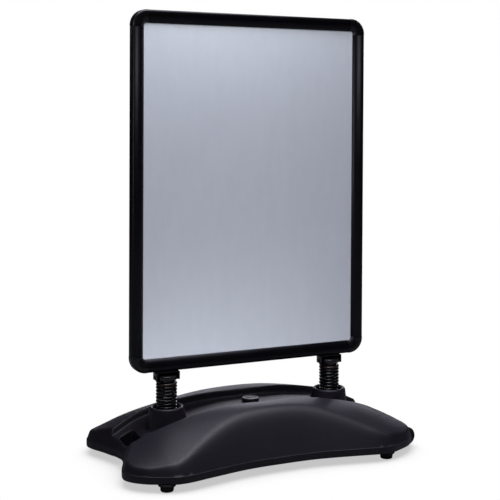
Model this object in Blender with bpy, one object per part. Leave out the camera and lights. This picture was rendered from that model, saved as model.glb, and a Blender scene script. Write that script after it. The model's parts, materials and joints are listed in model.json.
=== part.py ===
"""Spring-mounted poster sign: a double-sided A1 snap frame standing on two coil
springs in a low, water-fillable base with grip slot and transport wheels.

Metres, +Z up. Everything is modelled about the middle of the sign and moved at
the end, so that the origin is on the floor under the middle of the overall
length, wheels included. The sign faces -Y (front) and +Y (rear). +X (right) is
the wheel end, -X (left) is the grip end.
"""

import math

import bmesh
import bpy
import numpy as np
from mathutils import Matrix, Vector

MM = 0.001
GAP = 0.3 * MM                # clearance between neighbouring pieces
ORIGIN_X = 8.58 * MM          # middle of the overall length, from the sign's middle
LEFT_RIGHT = ((-1, "left"), (1, "right"))
FRONT_REAR = ((-1, "front"), (1, "rear"))

# ------------------------------------------------------------------ sizes ---
# sign frame
FRAME_W = 644.0 * MM          # outside width
FRAME_H = 880.0 * MM          # outside height
FRAME_Z0 = 225.0 * MM         # underside of the frame
FRAME_Z1 = FRAME_Z0 + FRAME_H
CORNER_R = 38.0 * MM          # outer radius of the corner caps
CORNER_LEG = 3.5 * MM         # straight part of a corner cap beyond its arc
KEY_LEG = 34.0 * MM           # straight part of a corner key beyond its arc
HINGE_N = 3.0 * MM            # hinge of a snap rail, inwards from the edge
HINGE_H = 9.5 * MM            # hinge of a snap rail, out from the mid plane
LEAF_HALF = 17.0 * MM         # half length of a rail spring
PANEL_T = 3.0 * MM
COVER_T = 0.8 * MM
PANEL_INSET = 12.5 * MM       # edge of the panel, inwards from the frame's edge
COVER_INSET = 15.4 * MM

# springs
SPRING_X = 227.5 * MM
SPRING_R = 22.65 * MM         # mean coil radius
WIRE_R = 3.6 * MM
SPRING_Z0 = 102.0 * MM
SPRING_Z1 = 203.5 * MM
PITCH_OPEN = 8.2 * MM
PITCH_SHUT = 7.5 * MM
SHUT_TURNS = 2.0              # closed turns at each end
COIL_STEPS = 10               # points per turn

# base
BASE_Z0 = 18.0 * MM           # underside
RIM_Z = 36.0 * MM             # parting ledge
LEDGE = 1.5 * MM
WALL = 4.5 * MM
MIN_RISE = 4.0 * MM           # least height of a skin over the bottom of its body
BOSS_R = 42.5 * MM
BOSS_FOOT_R = 47.5 * MM
BOSS_TOP = 138.0 * MM
POCKET_R = 31.5 * MM
POCKET_FLOOR = 95.0 * MM
SINK_TOP = BASE_Z0 + 12 * MM  # top of the bolt head recess
NECK_R = 17.0 * MM
VALLEY_Z = 0.1253             # floor of the valley at mid length
NECK_SEAT_Z = VALLEY_Z - 0.3 * MM
FOOT_X = {-1: 302.0 * MM, 1: 280.0 * MM}   # the wheel end keeps its feet further in
FOOT_Y = 202.0 * MM
WHEEL_X, WHEEL_Y, WHEEL_Z = 380.0 * MM, 137.0 * MM, 26.0 * MM
WHEEL_R, WHEEL_W = 23.0 * MM, 15.0 * MM
WELL_R = WHEEL_R + 2.5 * MM
WELL_MOUTH_X = 0.43           # beyond the nose, so that the well is open there
PIN_R = 4.0 * MM
PIN_Y = WHEEL_Y - 3 * MM      # middle of a wheel pin
SLOT_X0, SLOT_X1, SLOT_Y = -334.0 * MM, -298.0 * MM, 42.0 * MM
SLOT_CORNER_R = 9 * MM

# fittings between springs and frame
PLUG_R = SPRING_R * math.cos(math.pi / COIL_STEPS) - WIRE_R - 0.5 * MM   # clears the coils
SADDLE_TOP = FRAME_Z0 - GAP
SADDLE_T = 4.0 * MM
SADDLE_W, SADDLE_D = 61.0 * MM, 25.0 * MM
CROSS_PIN_Z = 0.2090
SCREW_X = 10.0 * MM           # saddle screws, either side of the spring's axis
SCREW_HOLE_R = 2.8 * MM


# --------------------------------------------------------------- clearing ---
for old_object in list(bpy.data.objects):
    bpy.data.objects.remove(old_object, do_unlink=True)
for old_mesh in list(bpy.data.meshes):
    bpy.data.meshes.remove(old_mesh)

SCENE = bpy.context.scene.collection


# -------------------------------------------------------------- materials ---
def material(name, colour, roughness, metallic=0.0, alpha=1.0):
    mat = bpy.data.materials.new(name)
    mat.use_nodes = True
    inputs = mat.node_tree.nodes["Principled BSDF"].inputs
    inputs["Base Color"].default_value = (*colour, 1.0)
    inputs["Roughness"].default_value = roughness
    inputs["Metallic"].default_value = metallic
    inputs["Alpha"].default_value = alpha
    mat.diffuse_color = (*colour, 1.0)
    return mat


M_BASE = material("base_plastic", colour=(0.035, 0.034, 0.038), roughness=0.45)
M_ALU = material("black_anodised", colour=(0.012, 0.012, 0.014), roughness=0.3, metallic=0.9)
M_CORE = material("core_aluminium", colour=(0.02, 0.02, 0.022), roughness=0.4, metallic=0.9)
M_CORNER = material("corner_plastic", colour=(0.006, 0.006, 0.006), roughness=0.25)
M_PANEL = material("panel_grey", colour=(0.50, 0.52, 0.56), roughness=0.5)
M_COVER = material("cover_clear", colour=(0.85, 0.87, 0.9), roughness=0.35, alpha=0.35)
M_STEEL = material("black_steel", colour=(0.01, 0.01, 0.01), roughness=0.3, metallic=0.8)
M_SCREW = material("zinc_steel", colour=(0.45, 0.44, 0.42), roughness=0.35, metallic=1.0)
M_RUBBER = material("rubber", colour=(0.012, 0.012, 0.012), roughness=0.8)
M_WHEEL = material("wheel_plastic", colour=(0.02, 0.02, 0.02), roughness=0.5)
M_PLUG = material("plug_plastic", colour=(0.012, 0.012, 0.012), roughness=0.5)


# ---------------------------------------------------------------- helpers ---
def finish(bm, name, mat, smooth=35.0):
    """Turns bm into an object; edges sharper than smooth degrees stay sharp."""
    bmesh.ops.remove_doubles(bm, verts=bm.verts, dist=1e-6)
    bmesh.ops.recalc_face_normals(bm, faces=bm.faces)
    mesh = bpy.data.meshes.new(name)
    bm.to_mesh(mesh)
    bm.free()
    mesh.materials.append(mat)
    if smooth:
        mesh.shade_smooth()
        mesh.set_sharp_from_angle(angle=math.radians(smooth))
    ob = bpy.data.objects.new(name, mesh)
    SCENE.objects.link(ob)
    return ob


def boolean_modifier(ob, name, operation):
    mod = ob.modifiers.new(name, "BOOLEAN")
    mod.operation = operation
    mod.solver = "EXACT"
    return mod


def hide_tool(tool):
    tool.hide_render = True
    tool.display_type = "WIRE"


def cut(ob, tool):
    hide_tool(tool)
    boolean_modifier(ob, "Difference_" + tool.name, "DIFFERENCE").object = tool


def boolean_all(ob, tools, operation, label):
    """One Boolean with a whole collection of tools."""
    group = bpy.data.collections.new(label)
    SCENE.children.link(group)
    for tool in tools:
        hide_tool(tool)
        SCENE.objects.unlink(tool)
        group.objects.link(tool)
    mod = boolean_modifier(ob, label, operation)
    mod.operand_type = "COLLECTION"
    mod.collection = group


def bridge(bm, ring, next_ring):
    """Quads between two closed rings of vertices."""
    for i in range(len(ring)):
        j = (i + 1) % len(ring)
        bm.faces.new((ring[i], ring[j], next_ring[j], next_ring[i]))


def prism(name, outline, frame, length, mat, holes=()):
    """Closed outline (a, b) in a frame (origin, a_dir, b_dir), pushed along
    a_dir x b_dir by length. holes are further outlines, left open right through."""
    origin, a_dir, b_dir = (Vector(v) for v in frame)
    push = a_dir.cross(b_dir).normalized() * length
    bm = bmesh.new()
    loops = []
    for loop in (outline, *holes):
        near = [bm.verts.new(origin + a_dir * a + b_dir * b) for a, b in loop]
        far = [bm.verts.new(v.co + push) for v in near]
        bridge(bm, near, far)
        loops.append((near, far))
    for rings in zip(*loops):
        if holes:
            edges = [bm.edges.get((ring[i], ring[(i + 1) % len(ring)]))
                     for ring in rings for i in range(len(ring))]
            bmesh.ops.triangle_fill(bm, edges=edges, use_beauty=True)
        else:
            bm.faces.new(rings[0])
    return finish(bm, name, mat)


AXIS_TURN = {"Z": Matrix(), "X": Matrix.Rotation(math.radians(90), 4, "Y"),
             "Y": Matrix.Rotation(math.radians(-90), 4, "X")}


def turned(name, profile, mat, steps, centre=(0, 0, 0), axis="Z"):
    """Solid of revolution: profile (radius, height) from the axis, round the
    outside and back to the axis (or a closed ring when no radius is zero)."""
    bm = bmesh.new()
    verts = [bm.verts.new((r, 0.0, z)) for r, z in profile]
    edges = [bm.edges.new(pair) for pair in zip(verts, verts[1:])]
    if min(r for r, _ in profile) > 1e-9:
        edges.append(bm.edges.new((verts[-1], verts[0])))
    bmesh.ops.spin(bm, geom=verts + edges, cent=(0, 0, 0), axis=(0, 0, 1), angle=2 * math.pi,
                   steps=steps, use_merge=True, use_normal_flip=False)
    ob = finish(bm, name, mat)
    ob.data.transform(AXIS_TURN[axis])
    ob.location = centre
    return ob


def cylinder(name, radius, low, high, mat, steps, centre=(0, 0, 0), axis="Z"):
    """Plain cylinder from low to high along its axis."""
    profile = [(0, low), (radius, low), (radius, high), (0, high)]
    return turned(name, profile, mat, steps, centre, axis)


def block(name, low, high, mat):
    bm = bmesh.new()
    bmesh.ops.create_cube(bm, size=1.0)
    for v in bm.verts:
        for i in range(3):
            v.co[i] = low[i] if v.co[i] < 0 else high[i]
    return finish(bm, name, mat)


def rounded_rectangle(a0, a1, b0, b1, radius):
    """Outline between a0..a1 and b0..b1, anticlockwise from the a1, b1 corner."""
    points = []
    for a, b, start in ((a1 - radius, b1 - radius, 0), (a0 + radius, b1 - radius, 90),
                        (a0 + radius, b0 + radius, 180), (a1 - radius, b0 + radius, 270)):
        for k in range(5):
            angle = math.radians(start + 22.5 * k)
            points.append((a + radius * math.cos(angle), b + radius * math.sin(angle)))
    return points


def clamped_spline(xs, ys, slope0, slope1):
    """Cubic through the points with the given end slopes; returns a function."""
    xs, ys = np.asarray(xs, float), np.asarray(ys, float)
    n = len(xs)
    step = np.diff(xs)
    matrix, right = np.zeros((n, n)), np.zeros(n)
    matrix[0, 0] = matrix[-1, -1] = 1.0
    right[0], right[-1] = slope0, slope1
    for i in range(1, n - 1):
        before, after = step[i - 1], step[i]
        matrix[i, i - 1], matrix[i, i + 1] = after, before
        matrix[i, i] = 2 * (after + before)
        right[i] = 3 * (after * (ys[i] - ys[i - 1]) / before
                        + before * (ys[i + 1] - ys[i]) / after)
    slopes = np.linalg.solve(matrix, right)

    def curve(x):
        x = np.clip(x, xs[0], xs[-1])
        i = np.clip(np.searchsorted(xs, x, side="right") - 1, 0, n - 2)
        t = (x - xs[i]) / step[i]
        return ((1 + 2 * t) * (1 - t) ** 2 * ys[i] + t * (1 - t) ** 2 * step[i] * slopes[i]
                + t * t * (3 - 2 * t) * ys[i + 1] + t * t * (t - 1) * step[i] * slopes[i + 1])

    return curve


# ------------------------------------------------------------ base surface ---
# Plan of one quarter: the long side y(x) from the middle to the nose, and the
# end x(y) from the middle to the nose.
NOSE_X, NOSE_Y = 0.3700, 0.1770
side_y = clamped_spline(
    [0.0, 0.090, 0.165, 0.222, 0.250, 0.268, 0.285, 0.307, 0.333, 0.353, NOSE_X],
    [0.1915, 0.1946, 0.2075, 0.2197, 0.2255, 0.2270, 0.2260, 0.2175, 0.2045, 0.1925, NOSE_Y],
    0.0, -1.0)
end_x = clamped_spline(
    [0.0, 0.015, 0.030, 0.044, 0.060, 0.076, 0.093, 0.114, 0.133, 0.145, 0.158, NOSE_Y],
    [0.3430, 0.3450, 0.3480, 0.3535, 0.3590, 0.3645,
     0.3715, 0.3800, 0.3852, 0.3857, 0.3820, NOSE_X],
    0.0, -0.9)

# A lobe runs along each long side, with a valley between the two. Heights along
# the length: inner edge, middle and outer edge of a lobe's top, floor of the
# valley and how far that floor rises towards the lobe.
LONG = [0.0, 0.10, 0.20, 0.30, 0.344, 0.40]
lobe_in = clamped_spline(LONG, [0.1400, 0.1400, 0.1268, 0.0985, 0.0778, 0.0570], 0.0, -0.40)
lobe_mid = clamped_spline(LONG, [0.1390, 0.1315, 0.1095, 0.0830, 0.0695, 0.0540], 0.0, -0.30)
lobe_out = clamped_spline(LONG, [0.1190, 0.1040, 0.0740, 0.0490, 0.0460, 0.0430], 0.0, -0.02)
valley = clamped_spline(LONG, [VALLEY_Z, 0.1225, 0.1065, 0.0725, 0.0525, 0.0410], 0.0, -0.10)
valley_rise = clamped_spline(LONG, [0.000, 0.001, 0.004, 0.013, 0.012, 0.010], 0.0, 0.0)
# Outer face above the rim: height per distance inwards, and rounding into the top.
face_slope = clamped_spline([0.0, 0.15, 0.30, 0.40], [1.80, 1.80, 2.3, 3.2], 0.0, 0.0)
face_round = clamped_spline([0.0, 0.10, 0.20, 0.30, 0.40],
                            [0.050, 0.044, 0.028, 0.012, 0.009], 0.0, 0.0)
# As shares of the half width: inner edge of a lobe, and the step up to it.
LOBE_V = 0.34
STEP_V0 = LOBE_V - 0.028
STEP_SPAN = 0.045


def plan(u, v, inset=0.0):
    """Point of the base's plan for u, v in -1..1."""
    x = u * (end_x(np.abs(v) * NOSE_Y) - inset)
    y = v * (side_y(np.abs(u) * NOSE_X) - inset)
    return x, y


def plan_uv(x, y):
    """The absolute u, v of a plan point, by repeated averaging."""
    x, y = np.abs(x), np.abs(y)
    v = np.clip(y / side_y(x), 0, 1)
    for _ in range(12):
        u = np.clip(x / end_x(v * NOSE_Y), 0, 1)
        v = 0.5 * v + 0.5 * np.clip(y / side_y(u * NOSE_X), 0, 1)
    return u, v


def rim_loop(n_side, n_end, inset):
    """Points round the rim, anticlockwise from the +X, -Y nose."""
    ends = np.linspace(-1, 1, n_end + 1)[:-1]
    sides = np.linspace(-1, 1, n_side + 1)[:-1]
    uv = [(1.0, t) for t in ends] + [(-t, 1.0) for t in sides]
    uv += [(-1.0, -t) for t in ends] + [(t, -1.0) for t in sides]
    u, v = np.array(uv).T
    return np.stack(plan(u, v, inset), -1)


RIM = rim_loop(120, 60, LEDGE)


def rim_distance(x, y):
    """Distance of plan points from the nearest segment of the rim."""
    points = np.stack([x.ravel(), y.ravel()], -1)[:, None, :]
    starts = RIM[None]
    spans = np.roll(RIM, -1, 0)[None] - starts
    t = np.clip(((points - starts) * spans).sum(-1) / (spans * spans).sum(-1), 0, 1)
    nearest = starts + spans * t[..., None]
    return np.sqrt(((nearest - points) ** 2).sum(-1)).min(1).reshape(x.shape)


def soft_min(a, b, blend):
    """Minimum of a and b, rounded where they differ by less than blend."""
    h = np.clip(blend - np.abs(a - b), 0, None) / blend
    return np.minimum(a, b) - h ** 3 * blend / 6


def smooth_step(t):
    t = np.clip(t, 0, 1)
    return t * t * (3 - 2 * t)


def top_z(x, y):
    """Height of the moulding's upper skin over plan points."""
    _, v = plan_uv(x, y)
    along = np.abs(x)
    # parabola across the lobe, through its inner, middle and outer heights
    s = np.clip((v - LOBE_V) / (1 - LOBE_V), 0, 1)
    z_in, z_mid, z_out = lobe_in(along), lobe_mid(along), lobe_out(along)
    square = 2 * (z_out + z_in) - 4 * z_mid
    linear = z_out - z_in - square
    lobe = z_in + linear * s + square * s * s
    floor = valley(along) + valley_rise(along) * np.clip(v / LOBE_V, 0, 1) ** 2
    body = floor + (lobe - floor) * smooth_step((v - STEP_V0) / STEP_SPAN)
    face = RIM_Z + face_slope(along) * rim_distance(x, y)
    return soft_min(body, face, face_round(along))


def skirt(bm, ring, steps):
    """Adds loops below a ring and closes the last. steps: (outward offset, height)."""
    points = np.array([v.co[:2] for v in ring])
    tangents = np.roll(points, -1, 0) - np.roll(points, 1, 0)
    tangents /= np.linalg.norm(tangents, axis=1)[:, None]
    outward = np.stack([tangents[:, 1], -tangents[:, 0]], -1)
    last = ring
    for offset, z in steps:
        lower = [bm.verts.new((*(p + out * offset), z)) for p, out in zip(points, outward)]
        bridge(bm, last, lower)
        last = lower
    bm.faces.new(last)


def skin_body(name, us, vs, inset, lowered, z_low, steps, smooth):
    """Closed body under the upper skin, which is lowered and moved in by inset,
    on the grid us x vs. steps are those of the skirt below it."""
    bm = bmesh.new()
    xs, ys = plan(*np.meshgrid(us, vs, indexing="ij"), inset)
    zs = np.maximum(top_z(xs, ys) - lowered, z_low + MIN_RISE)
    n, m = len(us) - 1, len(vs) - 1
    grid = [[bm.verts.new((xs[i, j], ys[i, j], zs[i, j])) for j in range(m + 1)]
            for i in range(n + 1)]
    for i in range(n):
        for j in range(m):
            bm.faces.new((grid[i][j], grid[i + 1][j], grid[i + 1][j + 1], grid[i][j + 1]))
    ring = [grid[i][0] for i in range(n)] + [grid[n][j] for j in range(m)]
    ring += [grid[i][m] for i in range(n, 0, -1)] + [grid[0][j] for j in range(m, 0, -1)]
    skirt(bm, ring, steps)
    return finish(bm, name, M_BASE, smooth)


def mirrored(half):
    """Stations 0..1 extended to -1..1."""
    return np.concatenate([-half[:0:-1], half])


# ---------------------------------------------------------------- the base ---
# grid stations across the half width
SKIN_V = np.array([0, 0.17, LOBE_V - 0.03, LOBE_V - 0.004, LOBE_V + 0.02,
                   0.46, 0.59, 0.71, 0.81, 0.89, 0.95, 1.0])
HOLLOW_V = np.array([0, 0.30, 0.42, 0.58, 0.74, 0.88, 1.0])
# grid stations along the half length, closer together towards the end
SKIN_U = 1 - (1 - np.linspace(0, 1, 16)) ** 1.15

# The hollow stops short of the grip slot and of the wheel wells: name, low, high.
HOLLOW_STOPS = [
    ("hollow_left_stop", (-0.50, -0.060, 0.0), (-0.281, 0.060, 0.2)),
    ("hollow_right_stop", (0.346, -0.30, 0.0), (0.50, 0.30, 0.2)),
]


def socket_boss(sx, side):
    return turned("boss_" + side,
                  [(0, 0.050), (BOSS_FOOT_R + 2.5 * MM, 0.050), (BOSS_FOOT_R, 0.100),
                   (BOSS_R + 0.5 * MM, BOSS_TOP - 6 * MM),
                   (BOSS_R - 0.3 * MM, BOSS_TOP - 2.8 * MM),
                   (BOSS_R - 2.2 * MM, BOSS_TOP - 0.7 * MM),
                   (BOSS_R - 4.5 * MM, BOSS_TOP), (0, BOSS_TOP)],
                  M_BASE, 32, (sx * SPRING_X, 0, 0))


def tank_hollow():
    """Inside of the tank, less its end stops and a post round each seat bolt."""
    floor = BASE_Z0 + WALL
    hollow = skin_body("tank_hollow", np.linspace(-1, 1, 21), mirrored(HOLLOW_V),
                       WALL + LEDGE, WALL, floor, [(0.0, floor)], smooth=0)
    for name, low, high in HOLLOW_STOPS:
        cut(hollow, block(name, low, high, M_BASE))
    for sx, side in LEFT_RIGHT:
        post = turned("bolt_post_" + side,
                      [(0, 0.0), (16 * MM, 0.0), (16 * MM, BASE_Z0), (12 * MM, 0.078),
                       (12 * MM, 0.125), (0, 0.125)],
                      M_BASE, 14, (sx * SPRING_X, 0, 0))
        cut(hollow, post)
    return hollow


def socket_openings(sx, side):
    """Pocket for the spring, and recess and hole for its bolt."""
    centre = (sx * SPRING_X, 0, 0)
    pocket = turned("pocket_" + side,
                    [(0, POCKET_FLOOR), (POCKET_R - 1 * MM, POCKET_FLOOR),
                     (POCKET_R, BOSS_TOP - 7 * MM), (POCKET_R + 1.5 * MM, BOSS_TOP - 3 * MM),
                     (POCKET_R + 5 * MM, BOSS_TOP + 0.5 * MM),
                     (POCKET_R + 5 * MM, BOSS_TOP + 2 * MM), (0, BOSS_TOP + 2 * MM)],
                    M_BASE, 28, centre)
    return [pocket,
            cylinder("bolt_sink_" + side, 10.5 * MM, 0.0, SINK_TOP, M_BASE, 18, centre),
            cylinder("bolt_hole_" + side, 5.3 * MM, 0.0, 0.145, M_BASE, 12, centre)]


def neck_openings():
    return [cylinder("neck_hole", NECK_R, 0.110, 0.150, M_BASE, 24),
            cylinder("neck_seat", 23.0 * MM, NECK_SEAT_Z, 0.150, M_BASE, 28)]


def grip_slot():
    outline = rounded_rectangle(SLOT_X0, SLOT_X1, -SLOT_Y, SLOT_Y, SLOT_CORNER_R)
    return prism("grip_slot", outline, ((0, 0, 0), (1, 0, 0), (0, 1, 0)), 0.2, M_BASE)


def wheel_openings(sy, side):
    """Wheel well, open below and at the nose, and the bore for the pin."""
    half = WHEEL_W / 2 + 1.6 * MM
    angles = [math.radians(a) for a in range(60, 271, 21)]
    outline = [(WHEEL_X + WELL_R * math.cos(a), WHEEL_Z + WELL_R * math.sin(a)) for a in angles]
    outline += [(WELL_MOUTH_X, WHEEL_Z - WELL_R), (WELL_MOUTH_X, WHEEL_Z + 21 * MM)]
    frame = ((0, sy * WHEEL_Y + half, 0), (1, 0, 0), (0, 0, 1))
    return [prism("wheel_well_" + side, outline, frame, 2 * half, M_BASE),
            cylinder("pin_bore_" + side, PIN_R + GAP, -15.4 * MM, 15.4 * MM, M_BASE, 16,
                     (WHEEL_X, sy * PIN_Y, WHEEL_Z), "Y")]


def foot_openings():
    return [cylinder("foot_hole_%d_%d" % (sx, sy), 5.2 * MM, 0, 0.0345, M_BASE, 12,
                     (sx * FOOT_X[sx], sy * FOOT_Y, 0))
            for sx in (-1, 1) for sy in (-1, 1)]


def base_tank():
    base = skin_body("base_tank", mirrored(SKIN_U), mirrored(SKIN_V), LEDGE, 0.0, BASE_Z0,
                     [(LEDGE, RIM_Z - 0.8 * MM), (LEDGE, BASE_Z0 + 2 * MM),
                      (-0.5 * MM, BASE_Z0)], smooth=40)
    bosses = [socket_boss(sx, side) for sx, side in LEFT_RIGHT]
    openings = [tank_hollow()]
    for sx, side in LEFT_RIGHT:
        openings += socket_openings(sx, side)
    openings += neck_openings()
    openings.append(grip_slot())
    for sy, side in FRONT_REAR:
        openings += wheel_openings(sy, side)
    openings += foot_openings()
    boolean_all(base, bosses, "UNION", "sockets")
    boolean_all(base, openings, "DIFFERENCE", "openings")


def rubber_feet():
    """Each foot has a stem pressed up into the base."""
    profile = [(0, 0), (13.5 * MM, 0), (15.0 * MM, 1.5 * MM), (16.0 * MM, 11.0 * MM),
               (20.5 * MM, 13.0 * MM), (20.5 * MM, BASE_Z0 - GAP), (4.9 * MM, BASE_Z0 - GAP),
               (4.9 * MM, 0.0315), (3.6 * MM, 0.0330), (0, 0.0330)]
    for sx, left_right in LEFT_RIGHT:
        for sy, front_rear in FRONT_REAR:
            turned("foot_%s_%s" % (front_rear, left_right), profile, M_RUBBER, 16,
                   (sx * FOOT_X[sx], sy * FOOT_Y, 0))


def wheels():
    """Wheels on short pins across the wells."""
    half = WHEEL_W / 2
    dish = half - 2 * MM
    tread = half - 2.5 * MM
    bore = PIN_R + 0.06 * MM
    profile = [(bore, -half), (8 * MM, -half), (8 * MM, -dish), (15 * MM, -dish),
               (16 * MM, -half), (20 * MM, -half), (WHEEL_R, -tread), (WHEEL_R, tread),
               (20 * MM, half), (16 * MM, half), (15 * MM, dish), (8 * MM, dish),
               (8 * MM, half), (bore, half)]
    for sy, side in FRONT_REAR:
        turned("wheel_" + side, profile, M_WHEEL, 20, (WHEEL_X, sy * WHEEL_Y, WHEEL_Z), "Y")
        cylinder("wheel_pin_" + side, PIN_R, -15.0 * MM, 15.0 * MM, M_SCREW, 20,
                 (WHEEL_X, sy * PIN_Y, WHEEL_Z), "Y")


def filler():
    """Filling cap and its seal, on the neck seat."""
    seal_z0 = NECK_SEAT_Z + GAP
    seal_z1 = seal_z0 + 1.6 * MM
    turned("filler_seal", [(17.5 * MM, seal_z0), (21.0 * MM, seal_z0),
                           (21.0 * MM, seal_z1), (17.5 * MM, seal_z1)], M_RUBBER, 24)
    cap_z = seal_z1 + 0.1 * MM
    turned("filler_cap",
           [(0, cap_z - 12 * MM), (14.5 * MM, cap_z - 12 * MM), (16.2 * MM, cap_z - 10.5 * MM),
            (16.2 * MM, cap_z), (21.5 * MM, cap_z), (21.5 * MM, cap_z + 6.2 * MM),
            (20.3 * MM, cap_z + 7.7 * MM), (17.5 * MM, cap_z + 8.0 * MM),
            (0, cap_z + 8.0 * MM)],
           M_PLUG, 24)


# ------------------------------------------------------------ spring group ---
def coil_spring(name, x):
    """Helical spring with closed coils at each end and filled wire ends."""
    rise = SPRING_Z1 - SPRING_Z0 - 2 * WIRE_R
    open_turns = (rise - 2 * SHUT_TURNS * PITCH_SHUT) / PITCH_OPEN
    turns = 2 * SHUT_TURNS + open_turns
    n = int(turns * COIL_STEPS)
    curve = bpy.data.curves.new(name, "CURVE")
    curve.dimensions = "3D"
    curve.bevel_depth = WIRE_R
    curve.bevel_resolution = 1
    curve.use_fill_caps = True
    spline = curve.splines.new("POLY")
    spline.points.add(n)
    for i in range(n + 1):
        turn = turns * i / n
        opened = min(max(turn - SHUT_TURNS, 0.0), open_turns)
        z = opened * PITCH_OPEN + (turn - opened) * PITCH_SHUT
        angle = 2 * math.pi * turn - math.pi / 2
        spline.points[i].co = (x + SPRING_R * math.cos(angle), SPRING_R * math.sin(angle),
                               SPRING_Z0 + WIRE_R + z, 1)
    curve.materials.append(M_STEEL)
    SCENE.objects.link(bpy.data.objects.new(name, curve))


def spring_seat(x, side):
    """Lower plug: flange on the socket floor, boss inside the closed coils; its
    bolt comes up from below the base."""
    centre = (x, 0, 0)
    flange_z0, flange_z1 = POCKET_FLOOR + GAP, SPRING_Z0 - 0.8 * MM
    seat = turned("spring_seat_" + side,
                  [(0, flange_z0), (28.5 * MM, flange_z0), (28.5 * MM, flange_z1),
                   (PLUG_R, flange_z1), (PLUG_R, 0.1215), (PLUG_R - 2 * MM, 0.1240),
                   (0, 0.1240)],
                  M_PLUG, 20, centre)
    cut(seat, cylinder("seat_bore_" + side, 4.3 * MM, 0.088, 0.1145, M_PLUG, 12, centre))
    head_z0, head_z1 = BASE_Z0 + 3 * MM, SINK_TOP - GAP
    turned("seat_bolt_" + side,
           [(0, head_z0), (9.0 * MM, head_z0), (9.0 * MM, head_z1), (4.0 * MM, head_z1),
            (4.0 * MM, 0.1125), (3.2 * MM, 0.1135), (0, 0.1135)],
           M_SCREW, 12, centre)


def steel_saddle(x, side):
    """Flat steel bent to an inverted U."""
    half, bend = SADDLE_W / 2, 2 * MM
    inside, ceiling = half - SADDLE_T, SADDLE_TOP - SADDLE_T
    outline = [(-half, SPRING_Z1), (-inside, SPRING_Z1), (-inside, ceiling),
               (inside, ceiling), (inside, SPRING_Z1), (half, SPRING_Z1),
               (half, SADDLE_TOP - bend), (half - bend, SADDLE_TOP),
               (-half + bend, SADDLE_TOP), (-half, SADDLE_TOP - bend)]
    frame = ((x, SADDLE_D / 2, 0), (1, 0, 0), (0, 0, 1))
    return prism("saddle_" + side, outline, frame, SADDLE_D, M_STEEL)


def spring_head(x, side):
    """Upper plug: boss inside the closed coils, block between the cheeks."""
    block_r, block_z0 = 25.8 * MM, SPRING_Z1 + 0.5 * MM
    return turned("spring_head_" + side,
                  [(0, 0.1855), (PLUG_R - 2 * MM, 0.1855), (PLUG_R, 0.1875),
                   (PLUG_R, block_z0), (block_r, block_z0), (block_r, 0.2130),
                   (24.8 * MM, 0.2140), (0, 0.2140)],
                  M_PLUG, 20, (x, 0, 0))


def cross_pin(x, side, head, saddle):
    """Pin through the plug and both cheeks, with its head at the -X end."""
    centre = (x, 0, CROSS_PIN_Z)
    for ob, prefix in ((head, "head_bore_"), (saddle, "cheek_bore_")):
        cut(ob, cylinder(prefix + side, 2.9 * MM, -0.04, 0.04, M_PLUG, 10, centre, "X"))
    half = SADDLE_W / 2
    turned("saddle_pin_" + side,
           [(0, -half - 2.2 * MM), (3.6 * MM, -half - 2.2 * MM), (4.4 * MM, -half - 1.4 * MM),
            (4.4 * MM, -half - GAP), (2.6 * MM, -half - GAP), (2.6 * MM, half + 0.5 * MM),
            (0, half + 0.5 * MM)],
           M_STEEL, 10, centre, "X")


def saddle_screws(x, side, saddle):
    """Two screws up through the saddle into the frame's bottom core rail."""
    z = SADDLE_TOP - SADDLE_T - GAP
    tip = FRAME_Z0 + 6.4 * MM
    for letter, dx in (("a", -SCREW_X), ("b", SCREW_X)):
        suffix, centre = "%s_%s" % (side, letter), (x + dx, 0, 0)
        cut(saddle, cylinder("screw_hole_" + suffix, SCREW_HOLE_R, 0.2155, 0.26,
                             M_STEEL, 10, centre))
        turned("saddle_screw_" + suffix,
               [(0, z - 3.6 * MM), (2.6 * MM, z - 3.6 * MM), (4.3 * MM, z - 2.2 * MM),
                (4.6 * MM, z), (2.4 * MM, z), (2.4 * MM, tip), (0, tip)],
               M_SCREW, 10, centre)


def spring_group(x, side):
    coil_spring("spring_" + side, x)
    spring_seat(x, side)
    saddle = steel_saddle(x, side)
    head = spring_head(x, side)
    cross_pin(x, side, head, saddle)
    saddle_screws(x, side, saddle)


# -------------------------------------------------------------- sign frame ---
def offset_in(points, distance):
    """Inner side of an open outline, at a distance inside it."""
    result = []
    for i, (n, h) in enumerate(points):
        before = points[max(i - 1, 0)]
        after = points[min(i + 1, len(points) - 1)]
        dn, dh = after[0] - before[0], after[1] - before[1]
        length = math.hypot(dn, dh)
        result.append((n + dh / length * distance, h - dn / length * distance))
    return result


# Sections (n, h) in millimetres: n inwards from the frame's edge, h out from
# the mid plane.
RAIL_SKIN = 1.6
RAIL_OUT = [(0.0, 6.5), (0.1, 8.6), (0.9, 10.4), (2.6, 11.9), (5.2, 12.95), (8.6, 13.45),
            (12.4, 13.4), (16.5, 12.85), (20.6, 11.75), (24.4, 10.1), (27.6, 8.0),
            (30.0, 6.0), (31.6, 4.6), (32.0, 3.2)]
RAIL_SECTION = (RAIL_OUT + [(30.6, 3.2), (30.2, 4.4)]
                + offset_in(RAIL_OUT[1:-2], RAIL_SKIN)[::-1] + [(RAIL_SKIN, 6.5)])

# bowed leaf that snaps the rail shut, beside its hinge
LEAF_SECTION = [(2.2, 9.0), (3.2, 8.3), (4.4, 8.0), (5.6, 8.3), (6.6, 9.0),
                (6.5, 9.5), (5.5, 8.8), (4.4, 8.5), (3.3, 8.8), (2.3, 9.5)]

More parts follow.
